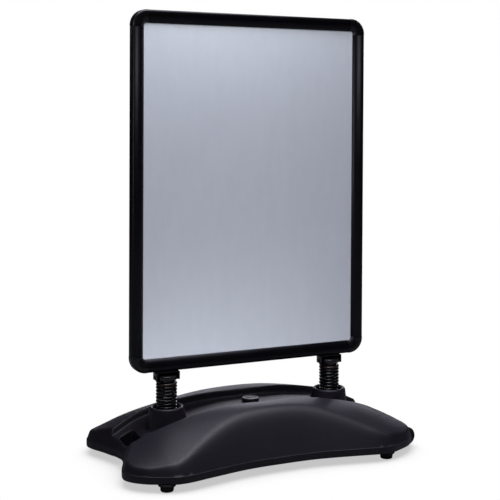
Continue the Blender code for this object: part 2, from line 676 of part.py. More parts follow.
CORE_SECTION = [(2.0, -5.0), (9.0, -5.0), (9.0, -9.0), (10.6, -9.0), (10.6, -5.0),
                (12.0, -5.0), (12.0, -2.8), (15.0, -2.8), (15.0, -1.8), (12.2, -1.8),
                (12.2, 1.8), (15.0, 1.8), (15.0, 2.8), (12.0, 2.8), (12.0, 5.0),
                (10.6, 5.0), (10.6, 9.0), (9.0, 9.0), (9.0, 5.0), (2.0, 5.0)]
CORE_HOLE = [(3.4, -3.6), (10.6, -3.6), (10.6, 3.6), (3.4, 3.6)]

# The caps stand slightly proud of the rails. Half section, then both halves.
CAP_OUT = [(-0.4, 8.4), (0.5, 10.7), (2.8, 12.6), (8.0, 13.9), (13.2, 13.8), (18.5, 12.8),
           (24.0, 10.7), (28.6, 7.6), (31.8, 4.6), (32.0, 3.2)]
CAP_HALF = CAP_OUT + [(30.4, 3.2), (30.0, 4.2)] + offset_in(CAP_OUT[:-2], 1.8)[::2][::-1]
CAP_SECTION = CAP_HALF + [(n, -h) for n, h in CAP_HALF][::-1]
KEY_SECTION = [(3.8, -3.2), (10.2, -3.2), (10.2, 3.2), (3.8, 3.2)]

# side name: start of the edge, direction along it, direction inwards, length
HALF_W = FRAME_W / 2
EDGES = {
    "bottom": (Vector((-HALF_W, 0, FRAME_Z0)), Vector((1, 0, 0)), Vector((0, 0, 1)), FRAME_W),
    "top": (Vector((HALF_W, 0, FRAME_Z1)), Vector((-1, 0, 0)), Vector((0, 0, -1)), FRAME_W),
    "left": (Vector((-HALF_W, 0, FRAME_Z1)), Vector((0, 0, -1)), Vector((1, 0, 0)), FRAME_H),
    "right": (Vector((HALF_W, 0, FRAME_Z0)), Vector((0, 0, 1)), Vector((-1, 0, 0)), FRAME_H),
}


def edge_piece(name, section, edge, h_dir, trim, mat, holes=()):
    """Section run along an edge, stopping trim short of each end."""
    start, along, inwards, length = EDGES[edge]
    h_axis = Vector((0, h_dir, 0))
    outline, *hole_outlines = [[(n * MM, h * MM) for n, h in ring] for ring in (section, *holes)]
    forwards = inwards.cross(h_axis).dot(along) > 0
    origin = start + along * (trim if forwards else length - trim)
    return prism(name, outline, (origin, inwards, h_axis), length - 2 * trim, mat, hole_outlines)


def set_on_hinge(ob, edge, h_dir):
    """Puts the object's origin on its hinge line without moving its mesh."""
    start, along, inwards, length = EDGES[edge]
    hinge = start + along * (length / 2) + inwards * HINGE_N + Vector((0, h_dir * HINGE_H, 0))
    ob.data.transform(Matrix.Translation(-hinge))
    ob.location = hinge


def snap_rails():
    """Hinged rails on both faces, each with its leaf spring."""
    for h_dir, face in FRONT_REAR:
        for edge, (_, _, _, length) in EDGES.items():
            for prefix, section, trim, mat in (
                    ("snap_rail", RAIL_SECTION, CORNER_R + CORNER_LEG + GAP, M_ALU),
                    ("rail_spring", LEAF_SECTION, length / 2 - LEAF_HALF, M_SCREW)):
                name = "%s_%s_%s" % (prefix, face, edge)
                set_on_hinge(edge_piece(name, section, edge, h_dir, trim, mat), edge, h_dir)


def core_rails():
    """Hollow rails inside the frame; the bottom one is drilled for the saddle screws."""
    cores = {edge: edge_piece("core_rail_" + edge, CORE_SECTION, edge, -1, CORNER_R + GAP,
                              M_CORE, [CORE_HOLE]) for edge in EDGES}
    for sx in (-1, 1):
        for k, dx in enumerate((-SCREW_X, SCREW_X)):
            cut(cores["bottom"],
                cylinder("core_hole_%d_%d" % (sx, k), SCREW_HOLE_R, FRAME_Z0 - 2 * MM,
                         FRAME_Z0 + 8 * MM, M_CORE, 10, (sx * SPRING_X + dx, 0, 0)))


def corner_sweep(name, section, sx, sz, leg, mat, steps):
    """Section carried round one frame corner with a straight leg each way."""
    pivot = Vector((sx * (HALF_W - CORNER_R), 0,
                    FRAME_Z0 + CORNER_R if sz < 0 else FRAME_Z1 - CORNER_R))
    stations = [(0.0, Vector((0, 0, -sz * leg)))]
    stations += [(math.pi / 2 * k / steps, Vector()) for k in range(steps + 1)]
    stations += [(math.pi / 2, Vector((-sx * leg, 0, 0)))]
    bm = bmesh.new()
    rings = []
    for angle, shift in stations:
        out = Vector((sx * math.cos(angle), 0, sz * math.sin(angle)))
        rings.append([bm.verts.new(pivot + shift + out * (CORNER_R - n * MM)
                                   + Vector((0, h * MM, 0))) for n, h in section])
    for ring, next_ring in zip(rings, rings[1:]):
        bridge(bm, ring, next_ring)
    bm.faces.new(rings[0])
    bm.faces.new(rings[-1])
    finish(bm, name, mat)


def corners():
    """Outer caps, and the keys that join the core rails."""
    for sx, left_right in LEFT_RIGHT:
        for sz, level in ((-1, "bottom"), (1, "top")):
            place = "%s_%s" % (level, left_right)
            corner_sweep("corner_cap_" + place, CAP_SECTION, sx, sz, CORNER_LEG, M_CORNER, 5)
            corner_sweep("corner_key_" + place, KEY_SECTION, sx, sz, KEY_LEG, M_SCREW, 4)


def sheet(name, inset, y0, y1, mat):
    """Flat sheet with rounded corners, its edge inset from the frame's edge."""
    outline = rounded_rectangle(-HALF_W + inset, HALF_W - inset,
                                FRAME_Z0 + inset, FRAME_Z1 - inset, CORNER_R - inset)
    prism(name, outline, ((0, y1, 0), (1, 0, 0), (0, 0, 1)), y1 - y0, mat)


def sheets():
    near = PANEL_T / 2 + GAP
    far = near + COVER_T
    sheet("backing_panel", PANEL_INSET, -PANEL_T / 2, PANEL_T / 2, M_PANEL)
    sheet("cover_sheet_front", COVER_INSET, -far, -near, M_COVER)
    sheet("cover_sheet_rear", COVER_INSET, near, far, M_COVER)


# ---------------------------------------------------------------- assembly ---
base_tank()
rubber_feet()
wheels()
filler()
for side_sign, side_name in LEFT_RIGHT:
    spring_group(side_sign * SPRING_X, side_name)
snap_rails()
core_rails()
corners()
sheets()

for piece in bpy.data.objects:
    piece.location.x -= ORIGIN_X
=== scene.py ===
"""Looks of the spring-mounted poster sign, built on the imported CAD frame."""

import json
import math

import bmesh
import bpy
import numpy as np
from mathutils import Matrix, Vector

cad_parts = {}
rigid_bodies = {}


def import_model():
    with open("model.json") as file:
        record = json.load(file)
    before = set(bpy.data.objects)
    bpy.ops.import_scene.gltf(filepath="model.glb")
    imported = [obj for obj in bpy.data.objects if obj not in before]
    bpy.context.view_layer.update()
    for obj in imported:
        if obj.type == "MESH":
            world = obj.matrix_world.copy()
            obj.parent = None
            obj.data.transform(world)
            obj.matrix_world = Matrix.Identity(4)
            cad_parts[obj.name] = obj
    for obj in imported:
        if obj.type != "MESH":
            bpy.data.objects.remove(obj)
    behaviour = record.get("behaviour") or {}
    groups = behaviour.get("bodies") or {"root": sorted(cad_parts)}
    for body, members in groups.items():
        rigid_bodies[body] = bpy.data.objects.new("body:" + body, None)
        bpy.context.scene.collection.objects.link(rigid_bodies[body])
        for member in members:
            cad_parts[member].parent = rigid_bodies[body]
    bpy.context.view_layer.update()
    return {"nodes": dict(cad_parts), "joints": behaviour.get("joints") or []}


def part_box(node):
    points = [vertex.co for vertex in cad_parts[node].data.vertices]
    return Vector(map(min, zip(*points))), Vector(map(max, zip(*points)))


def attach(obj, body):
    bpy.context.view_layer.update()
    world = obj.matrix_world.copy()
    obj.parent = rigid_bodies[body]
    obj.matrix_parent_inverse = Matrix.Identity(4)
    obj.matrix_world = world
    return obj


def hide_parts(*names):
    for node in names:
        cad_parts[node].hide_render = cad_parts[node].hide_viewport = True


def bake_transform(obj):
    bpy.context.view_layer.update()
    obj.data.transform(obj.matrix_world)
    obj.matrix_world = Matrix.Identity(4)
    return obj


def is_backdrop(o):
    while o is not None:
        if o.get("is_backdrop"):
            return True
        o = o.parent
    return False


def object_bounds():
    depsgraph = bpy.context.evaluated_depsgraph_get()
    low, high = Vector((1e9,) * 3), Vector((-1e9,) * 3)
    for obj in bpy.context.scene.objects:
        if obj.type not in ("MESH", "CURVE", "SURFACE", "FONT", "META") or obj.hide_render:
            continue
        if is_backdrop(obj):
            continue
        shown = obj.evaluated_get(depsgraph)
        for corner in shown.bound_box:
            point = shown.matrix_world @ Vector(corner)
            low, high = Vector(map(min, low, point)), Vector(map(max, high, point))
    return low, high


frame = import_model()
MM = 0.001


# --------------------------------------------------- places from the CAD ---
def mid(node):
    lo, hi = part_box(node)
    return (lo + hi) / 2


def joint(name):
    return next(j for j in frame["joints"] if j["name"] == name)


panel_lo, panel_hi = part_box("backing_panel")
X0 = mid("backing_panel").x                       # the sign's middle
cap_lo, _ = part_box("corner_cap_bottom_left")
_, cap_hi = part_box("corner_cap_top_right")
PROUD = 0.4 * MM                                  # corner caps stand this proud of the rails
CX0, CX1 = cap_lo.x + PROUD, cap_hi.x - PROUD
CZ0, CZ1 = cap_lo.z + PROUD, cap_hi.z - PROUD
FRAME_W, FRAME_H = CX1 - CX0, CZ1 - CZ0
CORNER_R, CORNER_LEG = 38.0 * MM, 3.5 * MM
LEG = CORNER_R + CORNER_LEG
GAP = 0.3 * MM
SPRING = {s: mid("spring_" + s) for s in ("left", "right")}
SP_LO, SP_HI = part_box("spring_left")
BASE_LO, BASE_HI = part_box("base_tank")
BOSS_TOP = 138.0 * MM
BASE_Z0 = BASE_LO.z


# ---------------------------------------------------------------- helpers ---
def link(ob):
    bpy.context.scene.collection.objects.link(ob)
    return ob


def from_bm(bm, name, mat, sharp=35.0):
    bmesh.ops.remove_doubles(bm, verts=bm.verts, dist=2e-6)
    bmesh.ops.recalc_face_normals(bm, faces=bm.faces)
    me = bpy.data.meshes.new(name)
    bm.to_mesh(me)
    bm.free()
    me.materials.append(mat)
    me.shade_smooth()
    me.set_sharp_from_angle(angle=math.radians(sharp))
    return link(bpy.data.objects.new(name, me))


def soften(pts, r, n=3, closed=False):
    """Rounds the corners of an outline by r, with n steps each."""
    pts = [np.array(p, float) for p in pts]
    out = []
    for i, p in enumerate(pts):
        if not closed and i in (0, len(pts) - 1):
            out.append(tuple(p))
            continue
        a, b = pts[i - 1], pts[(i + 1) % len(pts)]
        da, db = np.linalg.norm(a - p), np.linalg.norm(b - p)
        d = min(r, 0.42 * da, 0.42 * db)
        cosang = np.dot(a - p, b - p) / (da * db + 1e-12)
        if d < 1e-7 or cosang < -0.995:
            out.append(tuple(p))
            continue
        s, e = p + (a - p) / da * d, p + (b - p) / db * d
        for k in range(n + 1):
            t = k / n
            out.append(tuple((1 - t) ** 2 * s + 2 * t * (1 - t) * p + t * t * e))
    return out


def chaikin(pts, rounds=2):
    """Smooths an open outline, keeping its ends."""
    pts = [np.array(p, float) for p in pts]
    for _ in range(rounds):
        new = [pts[0]]
        for a, b in zip(pts, pts[1:]):
            new += [0.75 * a + 0.25 * b, 0.25 * a + 0.75 * b]
        new.append(pts[-1])
        pts = new
    return [tuple(p) for p in pts]


def offset_in(pts, t):
    """Inner side of an open outline, t inside it."""
    res = []
    for i, (n, h) in enumerate(pts):
        a = pts[max(i - 1, 0)]
        b = pts[min(i + 1, len(pts) - 1)]
        dn, dh = b[0] - a[0], b[1] - a[1]
        ln = math.hypot(dn, dh)
        res.append((n + dh / ln * t, h - dn / ln * t))
    return res


def loft(bm, rings, capped=True):
    """Skin over rings with the same number of points; ends filled."""
    rows = [[bm.verts.new(p) for p in ring] for ring in rings]
    for p, q in zip(rows, rows[1:]):
        for i in range(len(p)):
            j = (i + 1) % len(p)
            bm.faces.new((p[i], p[j], q[j], q[i]))
    if capped:
        bm.faces.new(rows[0])
        bm.faces.new(rows[-1][::-1])
    return rows


def revolve(bm, profile, centre, steps=64, axis="Z", wobble=None):
    """Adds a solid of revolution. profile: (radius, height), from axis to axis
    or a closed ring. wobble(angle, radius, height) may change a radius."""
    centre = Vector(centre)
    ring = min(r for r, _ in profile) > 1e-9
    cols = []
    poles = {}
    for k in range(steps):
        a = 2 * math.pi * k / steps
        col = []
        for i, (r, z) in enumerate(profile):
            if r <= 1e-9:
                if i not in poles:
                    poles[i] = bm.verts.new(_place(centre, 0, 0, z, axis))
                col.append(poles[i])
                continue
            rr = r if wobble is None else wobble(a, r, z)
            col.append(bm.verts.new(_place(centre, rr * math.cos(a), rr * math.sin(a), z, axis)))
        cols.append(col)
    n = len(profile)
    for k in range(steps):
        p, q = cols[k], cols[(k + 1) % steps]
        for i in range(n if ring else n - 1):
            j = (i + 1) % n
            face = []
            for v in (p[i], p[j], q[j], q[i]):
                if v not in face:
                    face.append(v)
            if len(face) > 2:
                bm.faces.new(face)


def _place(c, x, y, z, axis):
    if axis == "Z":
        return c + Vector((x, y, z))
    if axis == "X":
        return c + Vector((z, x, y))
    return c + Vector((x, z, y))


def turned(name, profile, mat, centre, r=0.5 * MM, steps=64, axis="Z", wobble=None, sharp=35.0, n=3):
    closed = min(p[0] for p in profile) > 1e-9
    bm = bmesh.new()
    revolve(bm, soften(profile, r, n, closed), centre, steps, axis, wobble)
    return from_bm(bm, name, mat, sharp)


def prism(name, pts, frm, length, mat, edge=0.4 * MM, sharp=35.0):
    """Outline in the plane (a_dir, b_dir), pushed along a_dir x b_dir, with
    small rounded edges at both ends."""
    origin, da, db = (Vector(v) for v in frm)
    push = da.cross(db).normalized()
    P = np.array(pts, float)
    t = np.roll(P, -1, 0) - np.roll(P, 1, 0)
    t /= np.linalg.norm(t, axis=1)[:, None] + 1e-12
    area = 0.5 * np.sum(P[:, 0] * np.roll(P[:, 1], -1) - np.roll(P[:, 0], -1) * P[:, 1])
    inward = np.stack([-t[:, 1], t[:, 0]], -1) * (1 if area > 0 else -1)
    bm = bmesh.new()
    rings = []
    for s, e in ((0.0, 1.0), (0.3, 0.3), (1.0, 0.0)):
        rings.append((s * edge, e * edge))
    rings += [(length - s, e) for s, e in rings[::-1]]
    out = []
    for s, e in rings:
        Q = P + inward * e
        out.append([origin + da * a + db * b + push * s for a, b in Q])
    loft(bm, out)
    return from_bm(bm, name, mat, sharp)


def apply_modifiers(ob):
    dg = bpy.context.evaluated_depsgraph_get()
    me = bpy.data.meshes.new_from_object(ob.evaluated_get(dg))
    ob.modifiers.clear()
    old = ob.data
    ob.data = me
    bpy.data.meshes.remove(old)
    return ob


def clamped_spline(xs, ys, s0, s1):
    """Cubic through the points with end slopes s0 and s1."""
    xs, ys = np.asarray(xs, float), np.asarray(ys, float)
    n = len(xs)
    h = np.diff(xs)
    a, r = np.zeros((n, n)), np.zeros(n)
    a[0, 0] = a[-1, -1] = 1.0
    r[0], r[-1] = s0, s1
    for i in range(1, n - 1):
        a[i, i - 1], a[i, i + 1] = h[i], h[i - 1]
        a[i, i] = 2 * (h[i] + h[i - 1])
        r[i] = 3 * (h[i] * (ys[i] - ys[i - 1]) / h[i - 1] + h[i - 1] * (ys[i + 1] - ys[i]) / h[i])
    m = np.linalg.solve(a, r)

    def f(x):
        x = np.clip(np.asarray(x, float), xs[0], xs[-1])
        i = np.clip(np.searchsorted(xs, x, side="right") - 1, 0, n - 2)
        t = (x - xs[i]) / h[i]
        return ((1 + 2 * t) * (1 - t) ** 2 * ys[i] + t * (1 - t) ** 2 * h[i] * m[i]
                + t * t * (3 - 2 * t) * ys[i + 1] + t * t * (t - 1) * h[i] * m[i + 1])

    return f


# -------------------------------------------------------------- materials ---
def new_material(name, rough, metal=0.0, specular=0.5, coat=0.0, coat_rough=0.1, coat_tint=None):
    m = bpy.data.materials.new(name)
    m.use_nodes = True
    nt = m.node_tree
    b = nt.nodes["Principled BSDF"]
    b.inputs["Roughness"].default_value = rough
    b.inputs["Metallic"].default_value = metal
    b.inputs["Specular IOR Level"].default_value = specular
    b.inputs["Coat Weight"].default_value = coat
    b.inputs["Coat Roughness"].default_value = coat_rough
    tc = nt.nodes.new("ShaderNodeTexCoord")
    return m, nt, b, tc.outputs["Object"]


def mapped(nt, coord, scale):
    mp = nt.nodes.new("ShaderNodeMapping")
    mp.inputs["Scale"].default_value = scale
    nt.links.new(coord, mp.inputs["Vector"])
    return mp.outputs["Vector"]


def noise(nt, coord, scale, detail=3.0, rough=0.5, distortion=0.0):
    n = nt.nodes.new("ShaderNodeTexNoise")
    n.inputs["Scale"].default_value = scale
    n.inputs["Detail"].default_value = detail
    n.inputs["Roughness"].default_value = rough
    n.inputs["Distortion"].default_value = distortion
    nt.links.new(coord, n.inputs["Vector"])
    return n.outputs["Fac"]


def remap(nt, value, a, b, lo=0.3, hi=0.7, smooth=False):
    r = nt.nodes.new("ShaderNodeMapRange")
    if smooth:
        r.interpolation_type = "SMOOTHSTEP"
    r.inputs["From Min"].default_value = lo
    r.inputs["From Max"].default_value = hi
    r.inputs["To Min"].default_value = a
    r.inputs["To Max"].default_value = b
    nt.links.new(value, r.inputs["Value"])
    return r.outputs["Result"]


def mix(nt, fac, a, b):
    m = nt.nodes.new("ShaderNodeMix")
    m.data_type = "RGBA"
    if isinstance(fac, (int, float)):
        m.inputs[0].default_value = fac
    else:
        nt.links.new(fac, m.inputs[0])
    for k, c in ((6, a), (7, b)):
        if isinstance(c, tuple):
            m.inputs[k].default_value = (*c, 1.0)
        else:
            nt.links.new(c, m.inputs[k])
    return m.outputs[2]


def maths(nt, op, a, b=0.0):
    m = nt.nodes.new("ShaderNodeMath")
    m.operation = op
    for k, v in enumerate((a, b)):
        if isinstance(v, (int, float)):
            m.inputs[k].default_value = v
        else:
            nt.links.new(v, m.inputs[k])
    return m.outputs[0]


def bump(nt, bsdf, height, distance, strength=1.0, before=None):
    b = nt.nodes.new("ShaderNodeBump")
    b.inputs["Strength"].default_value = strength
    b.inputs["Distance"].default_value = distance
    nt.links.new(height, b.inputs["Height"])
    if before is not None:
        nt.links.new(before, b.inputs["Normal"])
    nt.links.new(b.outputs["Normal"], bsdf.inputs["Normal"])
    return b.outputs["Normal"]


def moulded(name, colour, other, rough, grain=1400.0, grain_depth=0.05 * MM, dust_and_painted_top_light=0.0):
    """Injection or rotation moulded plastic: fine grain, slight unevenness and, if asked,
    a lighter speckled grey on faces that look up, part dust and part painted top light."""
    m, nt, b, co = new_material(name, rough)
    patch = noise(nt, co, 9.0, 4.0, 0.55)
    fine = noise(nt, co, 240.0, 2.0)
    col = mix(nt, remap(nt, patch, 0.0, 1.0), colour, other)
    if dust_and_painted_top_light:
        # faces that look up are mixed toward a lighter grey with a speckle: part dust, part painted top light
        geo = nt.nodes.new("ShaderNodeNewGeometry")
        sep = nt.nodes.new("ShaderNodeSeparateXYZ")
        nt.links.new(geo.outputs["Normal"], sep.inputs[0])
        up = remap(nt, sep.outputs["Z"], 0.0, 1.0, 0.55, 1.0, True)
        speck = remap(nt, noise(nt, co, 60.0, 6.0, 0.7), 0.25, 1.0, 0.35, 0.65)
        col = mix(nt, maths(nt, "MULTIPLY", maths(nt, "MULTIPLY", up, speck), dust_and_painted_top_light), col, (0.16, 0.155, 0.165))
    nt.links.new(col, b.inputs["Base Color"])
    nt.links.new(remap(nt, fine, rough - 0.04, rough + 0.05), b.inputs["Roughness"])
    n1 = bump(nt, b, noise(nt, co, grain, 2.0, 0.6), grain_depth, 0.6)
    bump(nt, b, noise(nt, co, 14.0, 2.0), 0.35 * MM, 0.25, n1)
    return m


def anodised(name, colour, along, rough=0.3):
    """Black anodised extrusion: die lines along its length."""
    m, nt, b, co = new_material(name, rough, 0.55, 0.5)
    scale = [900.0, 900.0, 900.0]
    scale["XYZ".index(along)] = 4.0
    lines = noise(nt, mapped(nt, co, scale), 1.0, 3.0, 0.6)
    soft = noise(nt, co, 30.0, 3.0)
    nt.links.new(mix(nt, remap(nt, soft, 0.0, 1.0), colour, tuple(c * 1.35 for c in colour)), b.inputs["Base Color"])
    nt.links.new(maths(nt, "ADD", remap(nt, lines, rough - 0.05, rough + 0.06), remap(nt, soft, -0.015, 0.015)), b.inputs["Roughness"])
    bump(nt, b, lines, 0.02 * MM, 0.35)
    return m


# the base's up-facing faces are lightened: part dust, part painted top light
M_BASE = moulded("base_plastic_look", (0.0112, 0.0090, 0.0160), (0.0134, 0.0108, 0.0186), 0.50, dust_and_painted_top_light=0.03)
M_FOOT = moulded("rubber_look", (0.012, 0.012, 0.012), (0.020, 0.020, 0.019), 0.75, grain=900.0)
M_WHEEL = moulded("wheel_look", (0.015, 0.015, 0.016), (0.022, 0.022, 0.022), 0.5)
M_PLUG = moulded("plug_look", (0.012, 0.012, 0.013), (0.018, 0.018, 0.019), 0.42)
M_CORNER = moulded("corner_look", (0.0035, 0.0035, 0.0040), (0.0055, 0.0055, 0.0060), 0.27, grain=1100.0, grain_depth=0.03 * MM)
M_RAIL_X = anodised("rail_across_look", (0.0055, 0.0053, 0.0075), "X")
M_RAIL_Z = anodised("rail_up_look", (0.0055, 0.0053, 0.0075), "Z")
M_CORE_X = anodised("core_across_look", (0.010, 0.010, 0.012), "X", 0.38)
M_CORE_Z = anodised("core_up_look", (0.010, 0.010, 0.012), "Z", 0.38)


def zinc(name, along):
    m, nt, b, co = new_material(name, 0.34, 1.0)
    scale = [500.0, 500.0, 500.0]
    scale["XYZ".index(along)] = 30.0
    lines = noise(nt, mapped(nt, co, scale), 1.0, 3.0, 0.6)
    bloom = noise(nt, co, 120.0, 4.0, 0.6)
    nt.links.new(mix(nt, remap(nt, bloom, 0.0, 1.0), (0.42, 0.42, 0.41), (0.52, 0.50, 0.46)), b.inputs["Base Color"])
    nt.links.new(remap(nt, lines, 0.27, 0.44), b.inputs["Roughness"])
    bump(nt, b, lines, 0.02 * MM, 0.3)
    return m


M_ZINC = zinc("zinc_look", "Z")


def spring_steel():
    """Gloss black coil, the closed coils at the top showing a brown cast."""
    m, nt, b, co = new_material("spring_look", 0.18, 0.0, 0.55, 0.25, 0.08)
    sep = nt.nodes.new("ShaderNodeSeparateXYZ")
    nt.links.new(co, sep.inputs[0])
    spread = maths(nt, "ADD", sep.outputs["Z"], remap(nt, noise(nt, co, 90.0, 3.0), -0.003, 0.003))
    top = remap(nt, spread, 0.0, 1.0, 0.1840, 0.1915, True)
    tint = mix(nt, remap(nt, noise(nt, co, 170.0, 4.0, 0.65), 0.0, 1.0), (0.022, 0.011, 0.008), (0.040, 0.019, 0.012))
    nt.links.new(mix(nt, top, (0.0040, 0.0037, 0.0037), tint), b.inputs["Base Color"])
    nt.links.new(maths(nt, "ADD", remap(nt, noise(nt, co, 400.0, 2.0), 0.14, 0.23), remap(nt, top, 0.0, 0.16, 0.0, 1.0)), b.inputs["Roughness"])
    bump(nt, b, noise(nt, co, 700.0, 2.0), 0.02 * MM, 0.4)
    return m


M_SPRING = spring_steel()


def powder(name):
    """Powder-coated bent steel, faint orange peel."""
    m, nt, b, co = new_material(name, 0.28, 0.0, 0.6, 0.25, 0.15)
    nt.links.new(mix(nt, remap(nt, noise(nt, co, 35.0, 3.0), 0.0, 1.0), (0.006, 0.006, 0.0065), (0.011, 0.011, 0.0115)), b.inputs["Base Color"])
    nt.links.new(remap(nt, noise(nt, co, 300.0, 2.0), 0.24, 0.34), b.inputs["Roughness"])
    bump(nt, b, noise(nt, co, 420.0, 1.0), 0.06 * MM, 0.5)
    return m


M_STEEL = powder("bracket_look")


def panel_material():
    """Grey rigid plastic panel with a faint cloud."""
    m, nt, b, co = new_material("panel_look", 0.55, 0.0, 0.4)
    cloud = noise(nt, co, 5.0, 5.0, 0.6)
    nt.links.new(mix(nt, remap(nt, cloud, 0.0, 1.0), (0.50, 0.53, 0.60), (0.55, 0.58, 0.65)), b.inputs["Base Color"])
    bump(nt, b, noise(nt, co, 800.0, 2.0), 0.03 * MM, 0.3)
    return m


def cover_material():
    """Clear sheet with an anti-glare grain."""
    m, nt, b, co = new_material("cover_look", 0.42, 0.0, 0.5)
    haze = noise(nt, mapped(nt, co, (1.0, 1.0, 0.35)), 16.0, 5.0, 0.62)
    b.inputs["Base Color"].default_value = (0.80, 0.83, 0.90, 1.0)
    nt.links.new(remap(nt, haze, 0.29, 0.32), b.inputs["Alpha"])
    nt.links.new(remap(nt, haze, 0.40, 0.47), b.inputs["Roughness"])
    n1 = bump(nt, b, noise(nt, co, 1300.0, 2.0, 0.6), 0.03 * MM, 0.5)
    bump(nt, b, noise(nt, mapped(nt, co, (1.0, 1.0, 0.5)), 7.0, 2.0), 0.4 * MM, 0.15, n1)
    return m


M_PANEL = panel_material()
M_COVER = cover_material()


def repaint(node, mat):
    ob = frame["nodes"][node] if isinstance(frame["nodes"], dict) else bpy.data.objects[node]
    ob.material_slots[0].material = mat
    return ob


# --------------------------------------------------------------- the base ---
NOSE_X, NOSE_Y = 0.3700, 0.1770
side_y = clamped_spline([0.0, 0.090, 0.165, 0.222, 0.250, 0.268, 0.285, 0.307, 0.333, 0.353, NOSE_X],
                        [0.1915, 0.1946, 0.2075, 0.2197, 0.2255, 0.2270, 0.2260, 0.2175, 0.2045, 0.1925, NOSE_Y], 0.0, -1.0)
end_x = clamped_spline([0.0, 0.015, 0.030, 0.044, 0.060, 0.076, 0.093, 0.114, 0.133, 0.145, 0.158, NOSE_Y],
                       [0.3430, 0.3450, 0.3480, 0.3535, 0.3590, 0.3645, 0.3715, 0.3800, 0.3852, 0.3857, 0.3820, NOSE_X], 0.0, -0.9)

LONG = [0.0, 0.10, 0.20, 0.30, 0.344, 0.40]
lobe_in = clamped_spline(LONG, [0.1400, 0.1400, 0.1268, 0.0985, 0.0778, 0.0570], 0.0, -0.40)
lobe_mid = clamped_spline(LONG, [0.1390, 0.1315, 0.1095, 0.0830, 0.0695, 0.0540], 0.0, -0.30)
lobe_out = clamped_spline(LONG, [0.1190, 0.1040, 0.0740, 0.0490, 0.0460, 0.0430], 0.0, -0.02)
valley = clamped_spline(LONG, [0.1253, 0.1225, 0.1065, 0.0725, 0.0525, 0.0410], 0.0, -0.10)
valley_rise = clamped_spline(LONG, [0.000, 0.001, 0.004, 0.013, 0.012, 0.010], 0.0, 0.0)
face_slope = clamped_spline([0.0, 0.15, 0.30, 0.40], [1.80, 1.80, 2.3, 3.2], 0.0, 0.0)
face_round = clamped_spline([0.0, 0.10, 0.20, 0.30, 0.40], [0.050, 0.044, 0.028, 0.012, 0.009], 0.0, 0.0)
WALL_V = 0.34
RIM_Z = 36.0 * MM
LEDGE = 1.5 * MM
BOSS_R, BOSS_FOOT_R, POCKET_R, POCKET_FLOOR = 42.5 * MM, 48.0 * MM, 31.5 * MM, 95.0 * MM
NECK_R = 17.0 * MM
VALLEY_Z = 0.1253


def plan(u, v, inset=0.0):
    x = u * (end_x(np.abs(v) * NOSE_Y) - inset)
    y = v * (side_y(np.abs(u) * NOSE_X) - inset)
    return x, y


def plan_uv(x, y):
    xs = np.abs(x)
    v = np.clip(np.abs(y) / side_y(np.abs(xs)), 0, 1)
    for _ in range(12):
        u = np.clip(np.abs(xs) / end_x(v * NOSE_Y), 0, 1)
        v = 0.5 * v + 0.5 * np.clip(np.abs(y) / side_y(u * NOSE_X), 0, 1)
    return u, v


def rim_loop(n_side, n_end, inset=0.0):
    t = np.linspace(-1, 1, n_end + 1)
    s = np.linspace(-1, 1, n_side + 1)
    uv = [(1.0, a) for a in t[:-1]] + [(-a, 1.0) for a in s[:-1]]
    uv += [(-1.0, -a) for a in t[:-1]] + [(a, -1.0) for a in s[:-1]]
    u, v = np.array(uv).T
    return np.stack(plan(u, v, inset), -1)


RIM = rim_loop(120, 60, LEDGE)


def rim_distance(x, y):
    flat = np.stack([x.ravel(), y.ravel()], -1)
    d = np.roll(RIM, -1, 0) - RIM
    dd = (d * d).sum(-1)
    best = np.full(len(flat), 1e9)
    for k in range(len(RIM)):
        w = flat - RIM[k]
        t = np.clip((w @ d[k]) / dd[k], 0, 1)
        q = w - t[:, None] * d[k]
        best = np.minimum(best, (q * q).sum(-1))
    return np.sqrt(best).reshape(x.shape)


def soft_min(a, b, k):
    h = np.clip(k - np.abs(a - b), 0, None) / k
    return np.minimum(a, b) - h ** 3 * k / 6


def smooth_step(t):
    t = np.clip(t, 0, 1)
    return t * t * (3 - 2 * t)


def top_z(x, y):
    """Height of the moulding's upper skin over a plan point."""
    x, y = np.atleast_1d(np.asarray(x, float)), np.atleast_1d(np.asarray(y, float))
    u, v = plan_uv(x, y)
    ax = np.abs(x)
    s = np.clip((v - WALL_V) / (1 - WALL_V), 0, 1)
    zi, zm, zo = lobe_in(ax), lobe_mid(ax), lobe_out(ax)
    c = 2 * (zo + zi) - 4 * zm
    b = zo - zi - c
    lobe = zi + b * s + c * s * s
    floor = valley(ax) + valley_rise(ax) * np.clip(v / WALL_V, 0, 1) ** 2
    w = smooth_step((v - (WALL_V - 0.028)) / 0.045)
    body = floor + (lobe - floor) * w
    d = rim_distance(x, y)
    face = RIM_Z + face_slope(ax) * d
    return soft_min(body, face, face_round(ax))


